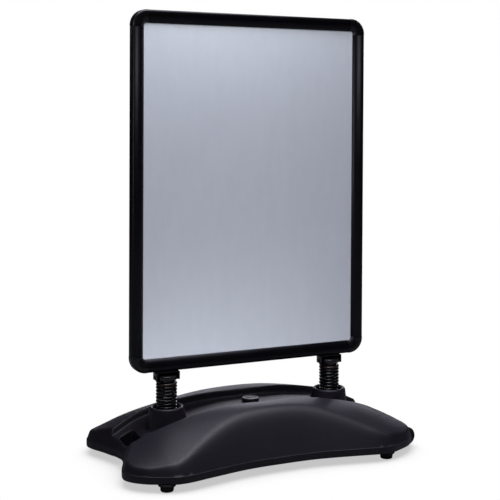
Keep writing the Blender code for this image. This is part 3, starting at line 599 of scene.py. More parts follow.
def base_mesh():
    us = np.linspace(-1, 1, 181)
    half = np.concatenate([np.linspace(0, WALL_V - 0.04, 13)[:-1], np.linspace(WALL_V - 0.04, WALL_V + 0.035, 11)[:-1],
                           np.linspace(WALL_V + 0.035, 0.90, 24)[:-1], np.linspace(0.90, 1.0, 9)])
    vs = np.concatenate([-half[:0:-1], half])
    uu, vv = np.meshgrid(us, vs, indexing="ij")
    px, py = plan(uu, vv, LEDGE)
    pz = top_z(px, py)
    # the skin dips out of sight inside the two sockets and the filling neck
    for sx in (-1, 1):
        r = np.hypot(px - sx * (SPRING["right"].x - X0), py)
        pz = np.where(r < 40 * MM, np.minimum(pz, POCKET_FLOOR - 9 * MM), pz)
    r = np.hypot(px, py)
    pz = np.where(r < 19.5 * MM, np.minimum(pz, VALLEY_Z - 20 * MM), pz)
    bm = bmesh.new()
    grid = [[bm.verts.new((px[i, j], py[i, j], pz[i, j])) for j in range(len(vs))] for i in range(len(us))]
    for i in range(len(us) - 1):
        for j in range(len(vs) - 1):
            bm.faces.new((grid[i][j], grid[i + 1][j], grid[i + 1][j + 1], grid[i][j + 1]))
    n, m = len(us) - 1, len(vs) - 1
    ring = [grid[i][0] for i in range(n)] + [grid[n][j] for j in range(m)]
    ring += [grid[i][m] for i in range(n, 0, -1)] + [grid[0][j] for j in range(m, 0, -1)]
    pts = np.array([v.co[:2] for v in ring])
    tan = np.roll(pts, -1, 0) - np.roll(pts, 1, 0)
    tan /= np.linalg.norm(tan, axis=1)[:, None]
    out = np.stack([tan[:, 1], -tan[:, 0]], -1)
    last = ring
    steps = [(0.35, RIM_Z - 0.15 * MM), (0.8, RIM_Z - 0.35 * MM), (0.97, RIM_Z - 0.75 * MM), (1.0, RIM_Z - 1.4 * MM),
             (1.0, RIM_Z - 6 * MM), (0.95, BASE_Z0 + 4 * MM), (0.7, BASE_Z0 + 1.6 * MM), (0.2, BASE_Z0 + 0.5 * MM), (-0.6, BASE_Z0)]
    for off, z in steps:
        new = []
        for i in range(len(ring)):
            top = ring[i].co.z
            zz = min(z, top - 0.1 * MM) if z > RIM_Z - 2 * MM else z
            new.append(bm.verts.new((*(pts[i] + out[i] * off * LEDGE), zz)))
        for i in range(len(ring)):
            j = (i + 1) % len(ring)
            bm.faces.new((last[i], last[j], new[j], new[i]))
        last = new
    bm.faces.new(last)
    return from_bm(bm, "base_shell", M_BASE, 42)


def outline_arc(cx, cy, r, a0, n):
    return [(cx + r * math.cos(math.radians(a0 + 90 * k / n)), cy + r * math.sin(math.radians(a0 + 90 * k / n))) for k in range(n + 1)]


def slot_tool():
    """Grip slot with a lip that rolls over into the skin."""
    x0, x1, hy, r = -334.0 * MM, -298.0 * MM, 42.0 * MM, 9 * MM
    corners = ((x1 - r, hy - r, 0), (x0 + r, hy - r, 90), (x0 + r, -hy + r, 180), (x1 - r, -hy + r, 270))

    def ring(grow):
        pts = []
        for k, (cx, cy, a0) in enumerate(corners):
            pts += outline_arc(cx, cy, r + grow, a0, 8)
            nx, ny, _ = corners[(k + 1) % 4]
            a = math.radians(a0 + 90)
            sx, sy = cx + (r + grow) * math.cos(a), cy + (r + grow) * math.sin(a)
            ex, ey = nx + (r + grow) * math.cos(a), ny + (r + grow) * math.sin(a)
            for t in np.linspace(0, 1, 12)[1:-1]:
                pts.append((sx + (ex - sx) * t, sy + (ey - sy) * t))
        return np.array(pts)

    base = ring(0.0)
    z_at = top_z(base[:, 0], base[:, 1])
    rings = [[(x, y, 0.0) for x, y in ring(1.2 * MM)], [(x, y, BASE_Z0 + 1.2 * MM) for x, y in base]]
    lip = 3.0 * MM
    for k in range(7):
        a = math.radians(15 * k)
        grown = ring(lip * (1 - math.cos(a)))
        rings.append([(x, y, z - lip + lip * math.sin(a) - 0.05 * MM) for (x, y), z in zip(grown, z_at)])
    grown = ring(lip + 6 * MM)
    rings.append([(x, y, z + 5 * MM) for (x, y), z in zip(grown, z_at)])
    rings.append([(x, y, 0.2) for x, y in grown])
    bm = bmesh.new()
    loft(bm, rings)
    ob = from_bm(bm, "slot_tool", M_BASE)
    return ob


def well_tool(wy):
    """Wheel well, open below and at the nose."""
    wx, wz = mid("wheel_front").x - X0, mid("wheel_front").z
    wr = (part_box("wheel_front")[1].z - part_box("wheel_front")[0].z) / 2 + 2.5 * MM
    half = 7.5 * MM + 1.6 * MM
    arc = [(wx + wr * math.cos(math.radians(a)), wz + wr * math.sin(math.radians(a))) for a in range(60, 271, 7)]
    pts = arc + [(0.43, wz - wr), (0.43, wz + 21 * MM)]
    bm = bmesh.new()
    loft(bm, [[(a, wy + s, b) for a, b in pts] for s in (half, -half)])
    return from_bm(bm, "well_tool", M_BASE)


def base_tools():
    tools = [slot_tool()]
    for side in ("front", "rear"):
        tools.append(well_tool(mid("wheel_" + side).y))
    for side in ("left", "right"):
        bm = bmesh.new()
        revolve(bm, [(0, 0.0), (11.2 * MM, 0.0), (10.5 * MM, BASE_Z0 + 0.7 * MM), (10.5 * MM, BASE_Z0 + 12 * MM), (0, BASE_Z0 + 12 * MM)],
                (SPRING[side].x - X0, 0, 0), 40)
        tools.append(from_bm(bm, "sink_tool_" + side, M_BASE))
    return tools


base = base_mesh()
tool_group = bpy.data.collections.new("base_tools")
bpy.context.scene.collection.children.link(tool_group)
tools = base_tools()
for t in tools:
    bpy.context.scene.collection.objects.unlink(t)
    tool_group.objects.link(t)
cutm = base.modifiers.new("cuts", "BOOLEAN")
cutm.operation, cutm.solver = "DIFFERENCE", "EXACT"
cutm.operand_type, cutm.collection = "COLLECTION", tool_group
apply_modifiers(base)
for t in tools:
    bpy.data.objects.remove(t, do_unlink=True)
bpy.data.collections.remove(tool_group)


def socket(cx):
    """Spring socket standing out of the valley with a small fillet at its foot."""
    bm = bmesh.new()
    steps = 120
    rings = []
    ang = [2 * math.pi * k / steps for k in range(steps)]

    def skin(r):
        return top_z(np.array([cx + r * math.cos(a) for a in ang]), np.array([r * math.sin(a) for a in ang]))

    fillet = 5.0 * MM
    wall_r = BOSS_FOOT_R
    for k in range(8):                                     # fillet from the skin up to the wall
        t = math.radians(90 * k / 7)
        r = wall_r + fillet * (1 - math.sin(t))
        z = skin(r)
        lift = fillet * (1 - math.cos(t)) - (0.12 * MM if k == 0 else 0.0)
        rings.append([(cx + r * math.cos(a), r * math.sin(a), zz + lift) for a, zz in zip(ang, z)])
    foot = np.array([p[2] for p in rings[-1]])
    top_r, top_z0 = BOSS_R + 0.6 * MM, BOSS_TOP - 6 * MM
    for t in (0.33, 0.66, 1.0):
        rings.append([(cx + (wall_r + (top_r - wall_r) * t) * math.cos(a), (wall_r + (top_r - wall_r) * t) * math.sin(a),
                       f + (top_z0 - f) * t) for a, f in zip(ang, foot)])
    rim = [(BOSS_R + 0.2 * MM, BOSS_TOP - 4.2 * MM), (BOSS_R - 0.4 * MM, BOSS_TOP - 2.8 * MM), (BOSS_R - 1.2 * MM, BOSS_TOP - 1.6 * MM),
           (BOSS_R - 2.4 * MM, BOSS_TOP - 0.6 * MM), (BOSS_R - 3.8 * MM, BOSS_TOP - 0.1 * MM), (BOSS_R - 5.0 * MM, BOSS_TOP - 0.1 * MM),
           (POCKET_R + 4.6 * MM, BOSS_TOP - 0.8 * MM), (POCKET_R + 3.2 * MM, BOSS_TOP - 1.9 * MM), (POCKET_R + 1.8 * MM, BOSS_TOP - 3.4 * MM),
           (POCKET_R + 0.7 * MM, BOSS_TOP - 5.2 * MM), (POCKET_R, BOSS_TOP - 7.5 * MM), (POCKET_R - 0.9 * MM, POCKET_FLOOR + 3.5 * MM),
           (POCKET_R - 1.6 * MM, POCKET_FLOOR + 1.2 * MM), (POCKET_R - 3.6 * MM, POCKET_FLOOR), (6.0 * MM, POCKET_FLOOR), (0.5 * MM, POCKET_FLOOR)]
    for r, z in rim:
        rings.append([(cx + r * math.cos(a), r * math.sin(a), z) for a in ang])
    loft(bm, rings, False)
    return from_bm(bm, "socket", M_BASE, 42)


def neck():
    """Filling neck round the middle hole."""
    bm = bmesh.new()
    prof = [(27.0 * MM, VALLEY_Z - 0.6 * MM), (25.8 * MM, VALLEY_Z - 0.1 * MM), (24.9 * MM, VALLEY_Z + 0.25 * MM), (23.8 * MM, VALLEY_Z + 0.3 * MM),
            (23.1 * MM, VALLEY_Z + 0.1 * MM), (23.0 * MM, VALLEY_Z - 0.3 * MM), (NECK_R + 0.8 * MM, VALLEY_Z - 0.32 * MM),
            (NECK_R, VALLEY_Z - 1.0 * MM), (NECK_R, VALLEY_Z - 17 * MM), (0.4 * MM, VALLEY_Z - 17.5 * MM)]
    rings = [[(r * math.cos(a), r * math.sin(a), z) for a in np.linspace(0, 2 * math.pi, 96, endpoint=False)] for r, z in prof]
    loft(bm, rings, False)
    return from_bm(bm, "neck", M_BASE, 42)


parts = [base, socket(SPRING["left"].x - X0), socket(SPRING["right"].x - X0), neck()]
for p in parts[1:]:
    bm = bmesh.new()
    bm.from_mesh(p.data)
    # open skins: make every normal look away from the part's own axis or up
    bmesh.ops.recalc_face_normals(bm, faces=bm.faces)
    rimface = max(bm.faces, key=lambda f: f.calc_center_median().z)
    if rimface.normal.z < 0:
        bmesh.ops.reverse_faces(bm, faces=bm.faces)
    bm.to_mesh(p.data)
    bm.free()
with bpy.context.temp_override(active_object=base, selected_editable_objects=parts, selected_objects=parts):
    bpy.ops.object.join()
base.data.transform(Matrix.Translation((X0, 0, 0)))
base.name = "base_shell"
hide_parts("base_tank")
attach(base, "base")


# -------------------------------------------------------- feet and wheels ---
for name in ("front_left", "front_right", "rear_left", "rear_right"):
    c = mid("foot_" + name)
    ob = turned("foot_pad_" + name,
                [(0, 0.4 * MM), (9.0 * MM, 0.4 * MM), (9.6 * MM, 0), (13.5 * MM, 0), (15.0 * MM, 1.5 * MM), (15.5 * MM, 5.2 * MM), (14.9 * MM, 5.6 * MM),
                 (14.9 * MM, 6.4 * MM), (15.7 * MM, 6.8 * MM), (16.0 * MM, 11.0 * MM), (20.5 * MM, 13.0 * MM), (20.5 * MM, BASE_Z0 - GAP),
                 (4.9 * MM, BASE_Z0 - GAP), (4.9 * MM, 0.0315), (3.6 * MM, 0.0330), (0, 0.0330)],
                M_FOOT, (c.x, c.y, 0), 0.8 * MM, 56)
    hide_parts("foot_" + name)
    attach(ob, "base")

for side in ("front", "rear"):
    c = mid("wheel_" + side)
    h, R = 7.5 * MM, 23.0 * MM

    def ribs(a, r, z):
        return r - 0.35 * MM * (0.5 + 0.5 * math.cos(36 * a)) if r > 22.5 * MM and abs(z) < 5 * MM else r

    ob = turned("wheel_disc_" + side,
                [(4.06 * MM, -h), (8 * MM, -h), (8.3 * MM, -h + 2 * MM), (14.7 * MM, -h + 2 * MM), (15.6 * MM, -h), (21 * MM, -h), (R, -h + 2.5 * MM),
                 (R, -2.4 * MM), (R, 2.4 * MM), (R, h - 2.5 * MM), (21 * MM, h), (15.6 * MM, h), (14.7 * MM, h - 2 * MM), (8.3 * MM, h - 2 * MM),
                 (8 * MM, h), (4.06 * MM, h)],
                M_WHEEL, c, 0.6 * MM, 144, "Y", ribs)
    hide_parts("wheel_" + side)
    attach(ob, "wheel_" + side)
    lo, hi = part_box("wheel_pin_" + side)
    p = mid("wheel_pin_" + side)
    L = (hi.y - lo.y) / 2
    ob = turned("wheel_axle_" + side, [(0, -L), (3.2 * MM, -L), (4.0 * MM, -L + 0.8 * MM), (4.0 * MM, L - 0.8 * MM), (3.2 * MM, L), (0, L)],
                M_ZINC, p, 0.3 * MM, 40, "Y")
    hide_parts("wheel_pin_" + side)
    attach(ob, "base")


# ---------------------------------------------------------- filling cap ---
lo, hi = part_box("filler_seal")
ob = turned("cap_seal_ring", [(17.5 * MM, lo.z), (21.0 * MM, lo.z), (21.0 * MM, hi.z), (17.5 * MM, hi.z)], M_FOOT, (X0, 0, 0), 0.5 * MM, 64)
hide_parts("filler_seal")
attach(ob, "cap_seal")

lo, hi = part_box("filler_cap")
c0 = hi.z - 8.0 * MM


def knurl(a, r, z):
    return r - 0.45 * MM * (0.5 + 0.5 * math.cos(48 * a)) ** 2 if r > 21.3 * MM and z < c0 + 5.9 * MM else r


ob = turned("cap_disc",
            [(0, lo.z), (14.5 * MM, lo.z), (16.2 * MM, lo.z + 1.5 * MM), (16.2 * MM, c0 - 0.8 * MM), (16.0 * MM, c0), (21.5 * MM, c0), (21.5 * MM, c0 + 3.0 * MM),
             (21.5 * MM, c0 + 5.6 * MM), (20.6 * MM, c0 + 7.6 * MM), (18.6 * MM, c0 + 8.0 * MM), (16.2 * MM, c0 + 8.0 * MM), (15.6 * MM, c0 + 7.2 * MM), (0, c0 + 7.0 * MM)],
            M_PLUG, (X0, 0, 0), 0.6 * MM, 192, "Z", knurl)
# finger bar across the dished top
bar = prism("cap_bar", soften([(-13.5 * MM, -2.6 * MM), (13.5 * MM, -2.6 * MM), (13.5 * MM, 2.6 * MM), (-13.5 * MM, 2.6 * MM)], 2.4 * MM, 5, True),
            ((X0, 0, c0 + 6.6 * MM), (1, 0, 0), (0, 1, 0)), 1.4 * MM, M_PLUG, 0.5 * MM)
with bpy.context.temp_override(active_object=ob, selected_editable_objects=[ob, bar], selected_objects=[ob, bar]):
    bpy.ops.object.join()
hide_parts("filler_cap")
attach(ob, "cap")


# ---------------------------------------------------------- spring groups ---
WIRE_R = 3.6 * MM
SPRING_R = (SP_HI.x - SP_LO.x) / 2 - WIRE_R
PITCH_OPEN, PITCH_SHUT = 8.2 * MM, 7.5 * MM
SPRING_Z0, SPRING_Z1 = 102.0 * MM, 203.5 * MM


def coil(side):
    c = SPRING[side]
    shut = 2.0
    rise = SPRING_Z1 - SPRING_Z0 - 2 * WIRE_R
    open_turns = (rise - 2 * shut * PITCH_SHUT) / PITCH_OPEN
    turns = 2 * shut + open_turns
    seg, nw = 44, 14
    n = int(turns * seg)
    knots = np.array([0, shut, shut + open_turns, turns])
    ts = np.linspace(0, turns, n + 1)
    fine = np.linspace(0, turns, 2400)
    rate = np.where((fine > knots[1]) & (fine < knots[2]), PITCH_OPEN, PITCH_SHUT)
    k = np.ones(60) / 60.0
    rate = np.convolve(np.pad(rate, 60, "edge"), k, "same")[60:-60]
    zz = np.concatenate([[0], np.cumsum((rate[1:] + rate[:-1]) / 2 * np.diff(fine))])
    zz *= rise / zz[-1]
    z = np.interp(ts, fine, zz)
    bm = bmesh.new()
    rings = []
    for i, t in enumerate(ts):
        a = 2 * math.pi * t - math.pi / 2
        rad = Vector((math.cos(a), math.sin(a), 0))
        tang = Vector((-math.sin(a), math.cos(a), PITCH_OPEN / (2 * math.pi * SPRING_R))).normalized()
        side_v = tang.cross(rad).normalized()
        ctr = Vector((c.x, 0, SPRING_Z0 + WIRE_R + z[i])) + rad * SPRING_R
        w = WIRE_R
        rings.append([ctr + rad * (w * math.cos(b)) + side_v * (w * math.sin(b)) for b in np.linspace(0, 2 * math.pi, nw, endpoint=False)])
    # slightly rounded wire ends
    for idx, sign in ((0, -1), (-1, 1)):
        a = 2 * math.pi * ts[idx] - math.pi / 2
        rad = Vector((math.cos(a), math.sin(a), 0))
        tang = Vector((-math.sin(a), math.cos(a), 0)) * sign
        ctr = Vector((c.x, 0, SPRING_Z0 + WIRE_R + z[idx])) + rad * SPRING_R
        small = [ctr + (Vector(p) - ctr) * 0.72 + tang * 0.6 * MM for p in rings[idx]]
        if idx == 0:
            rings.insert(0, small)
        else:
            rings.append(small)
    loft(bm, rings)
    ob = from_bm(bm, "coil_" + side, M_SPRING, 50)
    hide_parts("spring_" + side)
    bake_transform(ob)
    return ob


INNER_R = SPRING_R * math.cos(math.pi / 10) - WIRE_R - 0.5 * MM
for side in ("left", "right"):
    x = SPRING[side].x
    coil(side)
    ob = turned("seat_plug_" + side,
                [(0, POCKET_FLOOR + GAP), (28.5 * MM, POCKET_FLOOR + GAP), (28.5 * MM, SPRING_Z0 - 0.8 * MM), (INNER_R, SPRING_Z0 - 0.8 * MM),
                 (INNER_R, 0.1215), (INNER_R - 2 * MM, 0.1240), (0, 0.1240)], M_PLUG, (x, 0, 0), 0.8 * MM, 64)
    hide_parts("spring_seat_" + side)
    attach(ob, "base")

    ob = turned("anchor_bolt_" + side,
                [(0, BASE_Z0 + 4.5 * MM), (4.0 * MM, BASE_Z0 + 4.5 * MM), (4.6 * MM, BASE_Z0 + 3 * MM), (9.0 * MM, BASE_Z0 + 3.6 * MM),
                 (9.0 * MM, BASE_Z0 + 12 * MM - GAP), (4.0 * MM, BASE_Z0 + 12 * MM - GAP), (4.0 * MM, 0.1125), (3.2 * MM, 0.1135), (0, 0.1135)],
                M_ZINC, (x, 0, 0), 0.4 * MM, 48, "Z",
                lambda a, r, z: r * (math.cos(math.pi / 6) / math.cos((a % (math.pi / 3)) - math.pi / 6)) if r > 8.5 * MM else r)
    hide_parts("seat_bolt_" + side)
    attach(ob, "base")

    lo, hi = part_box("saddle_" + side)
    w, t, top, bot, dep = (hi.x - lo.x) / 2, 4.0 * MM, hi.z, lo.z, hi.y - lo.y
    outer = [(-w + t, bot), (-w, bot), (-w, top), (w, top), (w, bot), (w - t, bot), (w - t, top - t), (-w + t, top - t)]
    pts = []
    for i, p in enumerate(outer):
        r = {2: 4.5, 3: 4.5, 6: 1.2, 7: 1.2}.get(i, 0.5) * MM
        a, b = np.array(outer[i - 1]), np.array(outer[(i + 1) % len(outer)])
        p = np.array(p)
        s, e = p + (a - p) / np.linalg.norm(a - p) * r, p + (b - p) / np.linalg.norm(b - p) * r
        n = 6 if r > 2 * MM else 3
        pts += [tuple((1 - k / n) ** 2 * s + 2 * (k / n) * (1 - k / n) * p + (k / n) ** 2 * e) for k in range(n + 1)]
    ob = prism("bracket_" + side, pts, ((x, dep / 2, 0), (1, 0, 0), (0, 0, 1)), dep, M_STEEL, 0.5 * MM)
    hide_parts("saddle_" + side)
    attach(ob, "sign")

    zlo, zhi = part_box("spring_head_" + side)[0].z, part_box("spring_head_" + side)[1].z
    ob = turned("head_plug_" + side,
                [(0, zlo), (INNER_R - 2 * MM, zlo), (INNER_R, zlo + 2 * MM), (INNER_R, SPRING_Z1 + 0.5 * MM), (25.8 * MM, SPRING_Z1 + 0.5 * MM),
                 (25.8 * MM, zhi - 1 * MM), (24.8 * MM, zhi), (0, zhi)], M_STEEL, (x, 0, 0), 1.0 * MM, 80)
    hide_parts("spring_head_" + side)
    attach(ob, "sign")

    pz = mid("saddle_pin_" + side).z
    ob = turned("cross_pin_" + side,
                [(0, -w - 2.2 * MM), (3.0 * MM, -w - 2.2 * MM), (4.3 * MM, -w - 1.2 * MM), (4.4 * MM, -w - GAP), (2.6 * MM, -w - GAP),
                 (2.6 * MM, w + 0.2 * MM), (2.2 * MM, w + 0.5 * MM), (0, w + 0.5 * MM)], M_STEEL, (x, 0, pz), 0.3 * MM, 36, "X")
    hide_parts("saddle_pin_" + side)
    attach(ob, "sign")

    for k in ("a", "b"):
        c = mid("saddle_screw_%s_%s" % (side, k))
        z = top - t - GAP
        ob = turned("frame_screw_%s_%s" % (side, k),
                    [(0, z - 2.0 * MM), (1.5 * MM, z - 2.2 * MM), (1.7 * MM, z - 3.6 * MM), (2.6 * MM, z - 3.6 * MM), (4.3 * MM, z - 2.2 * MM), (4.6 * MM, z),
                     (2.4 * MM, z), (2.4 * MM, CZ0 + 5.6 * MM), (1.8 * MM, CZ0 + 6.4 * MM), (0, CZ0 + 6.4 * MM)],
                    M_ZINC, (c.x, 0, 0), 0.3 * MM, 36)
        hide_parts("saddle_screw_%s_%s" % (side, k))
        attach(ob, "sign")


# -------------------------------------------------------------- the frame ---
RAIL_OUT = [(0.0, 6.5), (0.1, 8.6), (0.9, 10.4), (2.6, 11.9), (5.2, 12.95), (8.6, 13.45), (12.4, 13.4), (16.5, 12.85),
            (20.6, 11.75), (24.4, 10.1), (27.6, 8.0), (30.0, 6.0), (31.6, 4.6), (32.0, 3.2)]
SKIN = 1.6
EDGES = {
    "bottom": (Vector((CX0, 0, CZ0)), Vector((1, 0, 0)), Vector((0, 0, 1)), FRAME_W),
    "top": (Vector((CX1, 0, CZ1)), Vector((-1, 0, 0)), Vector((0, 0, -1)), FRAME_W),
    "left": (Vector((CX0, 0, CZ1)), Vector((0, 0, -1)), Vector((1, 0, 0)), FRAME_H),
    "right": (Vector((CX1, 0, CZ0)), Vector((0, 0, 1)), Vector((-1, 0, 0)), FRAME_H),
}


def rail(face, edge, h_dir):
    start, along, inwards, length = EDGES[edge]
    out = chaikin(RAIL_OUT, 2)
    inner = offset_in(RAIL_OUT[1:-2], SKIN)[::-1]
    tail = [(30.6, 3.2), (30.2, 4.4)] + inner + [(SKIN, 6.5)]
    e_out = offset_in(out, 0.35)
    h = Vector((0, h_dir, 0))

    def ring(section, s):
        return [start + along * s + inwards * (n * MM) + h * (hh * MM) for n, hh in section]

    a, b = LEG + GAP, length - LEG - GAP
    mid_out = offset_in(out, 0.1)
    rings = [ring(e_out + tail, a), ring(mid_out + tail, a + 0.12 * MM), ring(out + tail, a + 0.4 * MM),
             ring(out + tail, b - 0.4 * MM), ring(mid_out + tail, b - 0.12 * MM), ring(e_out + tail, b)]
    bm = bmesh.new()
    loft(bm, rings)
    ob = from_bm(bm, "clip_rail_%s_%s" % (face, edge), M_RAIL_X if edge in ("top", "bottom") else M_RAIL_Z, 35)
    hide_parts("snap_rail_%s_%s" % (face, edge))
    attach(ob, "rail_%s_%s" % (face, edge))
    repaint("rail_spring_%s_%s" % (face, edge), M_ZINC)


for face, h_dir in (("front", -1), ("rear", 1)):
    for edge in EDGES:
        rail(face, edge, h_dir)
for edge in EDGES:
    repaint("core_rail_" + edge, M_CORE_X if edge in ("top", "bottom") else M_CORE_Z)

p_ = PROUD / MM
cap_out = [(-p_, 0.0), (-p_, 8.4), (0.5, 10.7), (2.4, 12.3), (5.1, 13.35), (8.6, 13.85), (12.4, 13.8), (16.5, 13.25),
           (20.6, 12.15), (24.4, 10.5), (27.6, 8.4), (30.2, 6.2), (31.8, 4.6), (32.0, 3.2)]
cap_curve = chaikin(cap_out[1:], 2)
cap_tail = [(30.4, 3.2), (30.0, 4.2)] + offset_in(cap_out[1:-2], 1.8)[::2][::-1]


def cap_section(shrink):
    half = offset_in(cap_curve, shrink) if shrink else list(cap_curve)
    half = half + cap_tail
    return half + [(n, -h) for n, h in half][::-1]


for sx, lr in ((-1, "left"), (1, "right")):
    for sz, tb in ((-1, "bottom"), (1, "top")):
        pivot = Vector((X0 + sx * (FRAME_W / 2 - CORNER_R), 0, CZ0 + CORNER_R if sz < 0 else CZ1 - CORNER_R))
        stations = [(0.0, Vector((0, 0, -sz * (CORNER_LEG - s * MM))), e) for s, e in ((0, 0.45), (0.15, 0.13), (0.5, 0.0))]
        stations += [(math.pi / 2 * k / 24, Vector(), 0.0) for k in range(25)]
        stations += [(math.pi / 2, Vector((-sx * (CORNER_LEG - s * MM), 0, 0)), e) for s, e in ((0.5, 0.0), (0.15, 0.13), (0, 0.45))]
        rings = []
        for a, shift, e in stations:
            d = Vector((sx * math.cos(a), 0, sz * math.sin(a)))
            rings.append([pivot + shift + d * (CORNER_R - n * MM) + Vector((0, h * MM, 0)) for n, h in cap_section(e)])
        bm = bmesh.new()
        loft(bm, rings)
        ob = from_bm(bm, "corner_piece_%s_%s" % (tb, lr), M_CORNER, 35)
        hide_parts("corner_cap_%s_%s" % (tb, lr))
        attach(ob, "sign")
        repaint("corner_key_%s_%s" % (tb, lr), M_ZINC)

repaint("backing_panel", M_PANEL)


def cover(face, h_dir):
    """Clear sheet, lifting slightly along its border where the rails' lips press it."""
    lo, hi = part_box("cover_sheet_" + face)
    cx, cz = (lo.x + hi.x) / 2, (lo.z + hi.z) / 2
    hw, hh = (hi.x - lo.x) / 2, (hi.z - lo.z) / 2
    y_in, y_out = (hi.y, lo.y) if h_dir < 0 else (lo.y, hi.y)
    lip_w, lip_h = FRAME_W / 2 - 32 * MM, FRAME_H / 2 - 32 * MM      # visible opening
    rc = 22.6 * MM

    def loop(inset, n=10):
        r = max(rc - inset, 3.0 * MM)
        pts = []
        for sx, sz, a0 in ((1, 1, 0), (-1, 1, 90), (-1, -1, 180), (1, -1, 270)):
            for k in range(n + 1):
                a = math.radians(a0 + 90 * k / n)
                pts.append((cx + sx * (hw - inset - r) + r * math.cos(a), cz + sz * (hh - inset - r) + r * math.sin(a)))
        return pts

    inset_lip = hw - lip_w
    profile = [(0.25 * MM, 0.0), (0.0, 0.12), (0.0, 0.88), (0.25 * MM, 1.0)]
    rows = [[(x, y_in + (y_out - y_in) * f, z) for x, z in loop(i)] for i, f in profile]
    bulge = 0.5 * MM
    for d, f in ((inset_lip - 4 * MM, 0.0), (inset_lip - 1.5 * MM, 0.55), (inset_lip, 0.9), (inset_lip + 1.2 * MM, 1.0), (inset_lip + 2.4 * MM, 0.93),
                 (inset_lip + 3.6 * MM, 0.70), (inset_lip + 5.2 * MM, 0.36), (inset_lip + 7 * MM, 0.12), (inset_lip + 9.5 * MM, 0.0)):
        rows.append([(x, y_out + h_dir * bulge * f, z) for x, z in loop(d)])
    bm = bmesh.new()
    made = [[bm.verts.new(p) for p in row] for row in rows]
    for p, q in zip(made, made[1:]):
        for i in range(len(p)):
            j = (i + 1) % len(p)
            bm.faces.new((p[i], p[j], q[j], q[i]))
    bm.faces.new(made[-1])
    bm.faces.new(made[0][::-1])
    ob = from_bm(bm, "clear_sheet_" + face, M_COVER, 30)
    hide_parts("cover_sheet_" + face)
    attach(ob, "sign")


cover("front", -1)
cover("rear", 1)


# -------------------------------------------------------- floor and light ---
def floor():
    """Plain pale floor. The camera sees it bright and even, with the contact
    shadows taken from its own shading; the object sees a dim grey one."""
    bm = bmesh.new()
    bmesh.ops.create_grid(bm, x_segments=2, y_segments=2, size=30.0)
    ob = from_bm(bm, "floor", bpy.data.materials.new("floor_look"))
    ob.location = (0, 0, -0.2 * MM)
    m = ob.data.materials[0]
    m.use_nodes = True
    nt = m.node_tree
    b = nt.nodes["Principled BSDF"]
    b.inputs["Roughness"].default_value = 0.95
    b.inputs["Specular IOR Level"].default_value = 0.0
    out = nt.nodes["Material Output"]
    path = nt.nodes.new("ShaderNodeLightPath")
    nt.links.new(mix(nt, path.outputs["Is Glossy Ray"], (0.07, 0.07, 0.073), (0.30, 0.30, 0.32)), b.inputs["Base Color"])
    # contact shadow: how much of the sky close above the floor is hidden
    ao = nt.nodes.new("ShaderNodeAmbientOcclusion")
    ao.samples = 8
    ao.inputs["Distance"].default_value = 0.12
    shade = remap(nt, ao.outputs["AO"], 0.55, 1.0, 0.30, 0.90, True)
    em = nt.nodes.new("ShaderNodeEmission")
    nt.links.new(mix(nt, shade, (0.0, 0.0, 0.0), (1.0, 1.0, 1.0)), em.inputs["Color"])
    mx = nt.nodes.new("ShaderNodeMixShader")
    nt.links.new(path.outputs["Is Camera Ray"], mx.inputs[0])
    nt.links.new(b.outputs[0], mx.inputs[1])
    nt.links.new(em.outputs[0], mx.inputs[2])
    nt.links.new(mx.outputs[0], out.inputs["Surface"])
    ob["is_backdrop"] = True


floor()


def area(name, loc, target, size, power, colour=(1, 1, 1), size_y=None, only=None):
    l = bpy.data.lights.new(name, "AREA")
    l.energy = power
    l.color = colour
    l.size = size
    if size_y:
        l.shape = "RECTANGLE"
        l.size_y = size_y
    ob = link(bpy.data.objects.new(name, l))
    ob.location = loc
    ob.rotation_euler = (Vector(target) - Vector(loc)).to_track_quat("-Z", "Y").to_euler()
    if only is not None:
        ob.light_linking.receiver_collection = only
    return ob


# The posters and the frame round them have lamps flagged off everything else.
poster = bpy.data.collections.new("poster_faces")
rails = bpy.data.collections.new("frame_edges")
uprights = bpy.data.collections.new("upright_rails")
for ob in bpy.data.objects:
    if ob.name.startswith(("clear_sheet", "backing_panel")):
        poster.objects.link(ob)
    if ob.name.startswith(("clip_rail", "corner_piece")):
        rails.objects.link(ob)
    if ob.name.startswith("clip_rail") and ob.name.endswith(("_left", "_right")):
        uprights.objects.link(ob)

area("overhead", (0.05, -0.5, 3.35), (-0.05, -0.1, 0.1), 2.6, 80, (0.985, 0.965, 1.09), 1.2)
area("back", (1.9, 3.5, 1.15), (0, 0, 0.15), 2.8, 27, (0.97, 0.96, 1.09), 0.9)
for side in (-1, 1):
    area("edge_side_%d" % side, (side * 2.3, side * 2.2, 1.2), (0, 0, 0.7), 0.30, 12, (0.96, 0.97, 1.06), 1.8, rails)
    area("upright_%d" % side, (-side * 0.5, side * 2.35, 1.75), (0, 0, 1.0), 1.3, 9, (0.97, 0.98, 1.05), 0.5, uprights)
    area("edge_top_%d" % side, (-side * 0.9, -side * 1.3, 3.1), (0, 0, 1.1), 1.8, 3, (0.96, 0.97, 1.06), 0.6, rails)
for name, side in (("front", -1), ("rear", 1)):
    area("poster_top_" + name, (side * 0.14, side * 0.28, 1.36), (side * 0.05, 0, 0.92), 0.75, 2.7, (0.98, 0.99, 1.0), 0.14, poster)
    area("poster_low_" + name, (side * 0.12, side * 0.36, 0.05), (side * 0.05, 0, 0.42), 0.75, 1.7, (0.98, 0.99, 1.0), 0.10, poster)
    area("poster_wide_" + name, (side * 1.2, side * 3.0, 1.1), (0, 0, 0.7), 1.6, 20, (0.98, 0.99, 1.0), 1.6, poster)

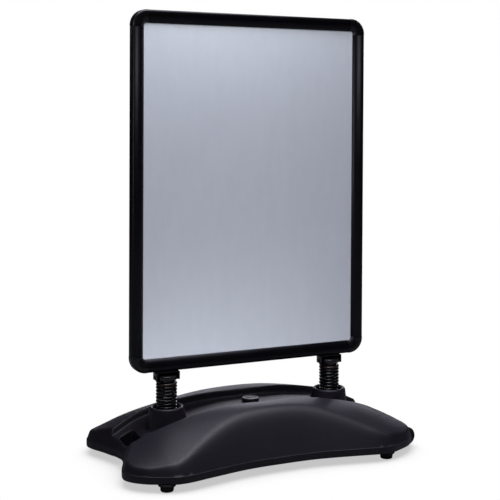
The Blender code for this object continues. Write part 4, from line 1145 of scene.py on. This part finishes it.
world = bpy.data.worlds.new("studio")
bpy.context.scene.world = world
world.use_nodes = True
wn = world.node_tree
bg = wn.nodes["Background"]
path = wn.nodes.new("ShaderNodeLightPath")
wmix = wn.nodes.new("ShaderNodeMix")
wmix.data_type = "RGBA"
wn.links.new(path.outputs["Is Camera Ray"], wmix.inputs[0])
wmix.inputs[6].default_value = (0.020, 0.020, 0.023, 1.0)
wmix.inputs[7].default_value = (1.0, 1.0, 1.0, 1.0)
wn.links.new(wmix.outputs[2], bg.inputs["Color"])
bg.inputs["Strength"].default_value = 1.0


# ----------------------------------------------------------------- camera ---
F_PX, CX_PX, CY_PX = 1120.16, 269.085, 135.939
YAW, PITCH, ROLL = math.radians(26.0004), math.radians(-1.1121), math.radians(0.3066)
cam_data = bpy.data.cameras.new("camera")
cam = link(bpy.data.objects.new("camera", cam_data))
fwd = Vector((math.sin(YAW) * math.cos(PITCH), math.cos(YAW) * math.cos(PITCH), math.sin(PITCH)))
right = Vector((math.cos(YAW), -math.sin(YAW), 0))
up = right.cross(fwd)
r2 = right * math.cos(ROLL) + up * math.sin(ROLL)
u2 = -right * math.sin(ROLL) + up * math.cos(ROLL)
place = Vector((-1.203140 + X0, -2.566653, 0.854132))
rot = Matrix((r2, u2, -fwd)).transposed()
cam.matrix_world = Matrix.Translation(place) @ rot.to_4x4()
cam_data.sensor_fit = "HORIZONTAL"
cam_data.sensor_width = 36.0
cam_data.lens = F_PX / 500 * 36.0
cam_data.clip_start, cam_data.clip_end = 0.05, 60
bpy.context.scene.camera = cam
# The photo's optical axis is above the middle of its frame. The lens shift holds
# only at the photo's own viewpoint, so that every other view stays centred.
for prop, value in (("shift_x", (250 - CX_PX) / 500), ("shift_y", (CY_PX - 250) / 500)):
    fc = cam_data.driver_add(prop)
    fc.driver.type = "SUM"
    v = fc.driver.variables.new()
    v.name = "x"
    v.type = "TRANSFORMS"
    v.targets[0].id = cam
    v.targets[0].transform_type = "LOC_X"
    for extra in list(fc.modifiers):
        fc.modifiers.remove(extra)
    for dx, share in ((-0.06, 0.0), (-0.03, 1.0), (0.03, 1.0), (0.06, 0.0)):
        key = fc.keyframe_points.insert(place.x + dx, value * share)
        key.interpolation = "LINEAR"
    fc.extrapolation = "CONSTANT"

bpy.context.scene.view_settings.view_transform = "Standard"
bpy.context.scene.view_settings.look = "None"

lo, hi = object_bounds()
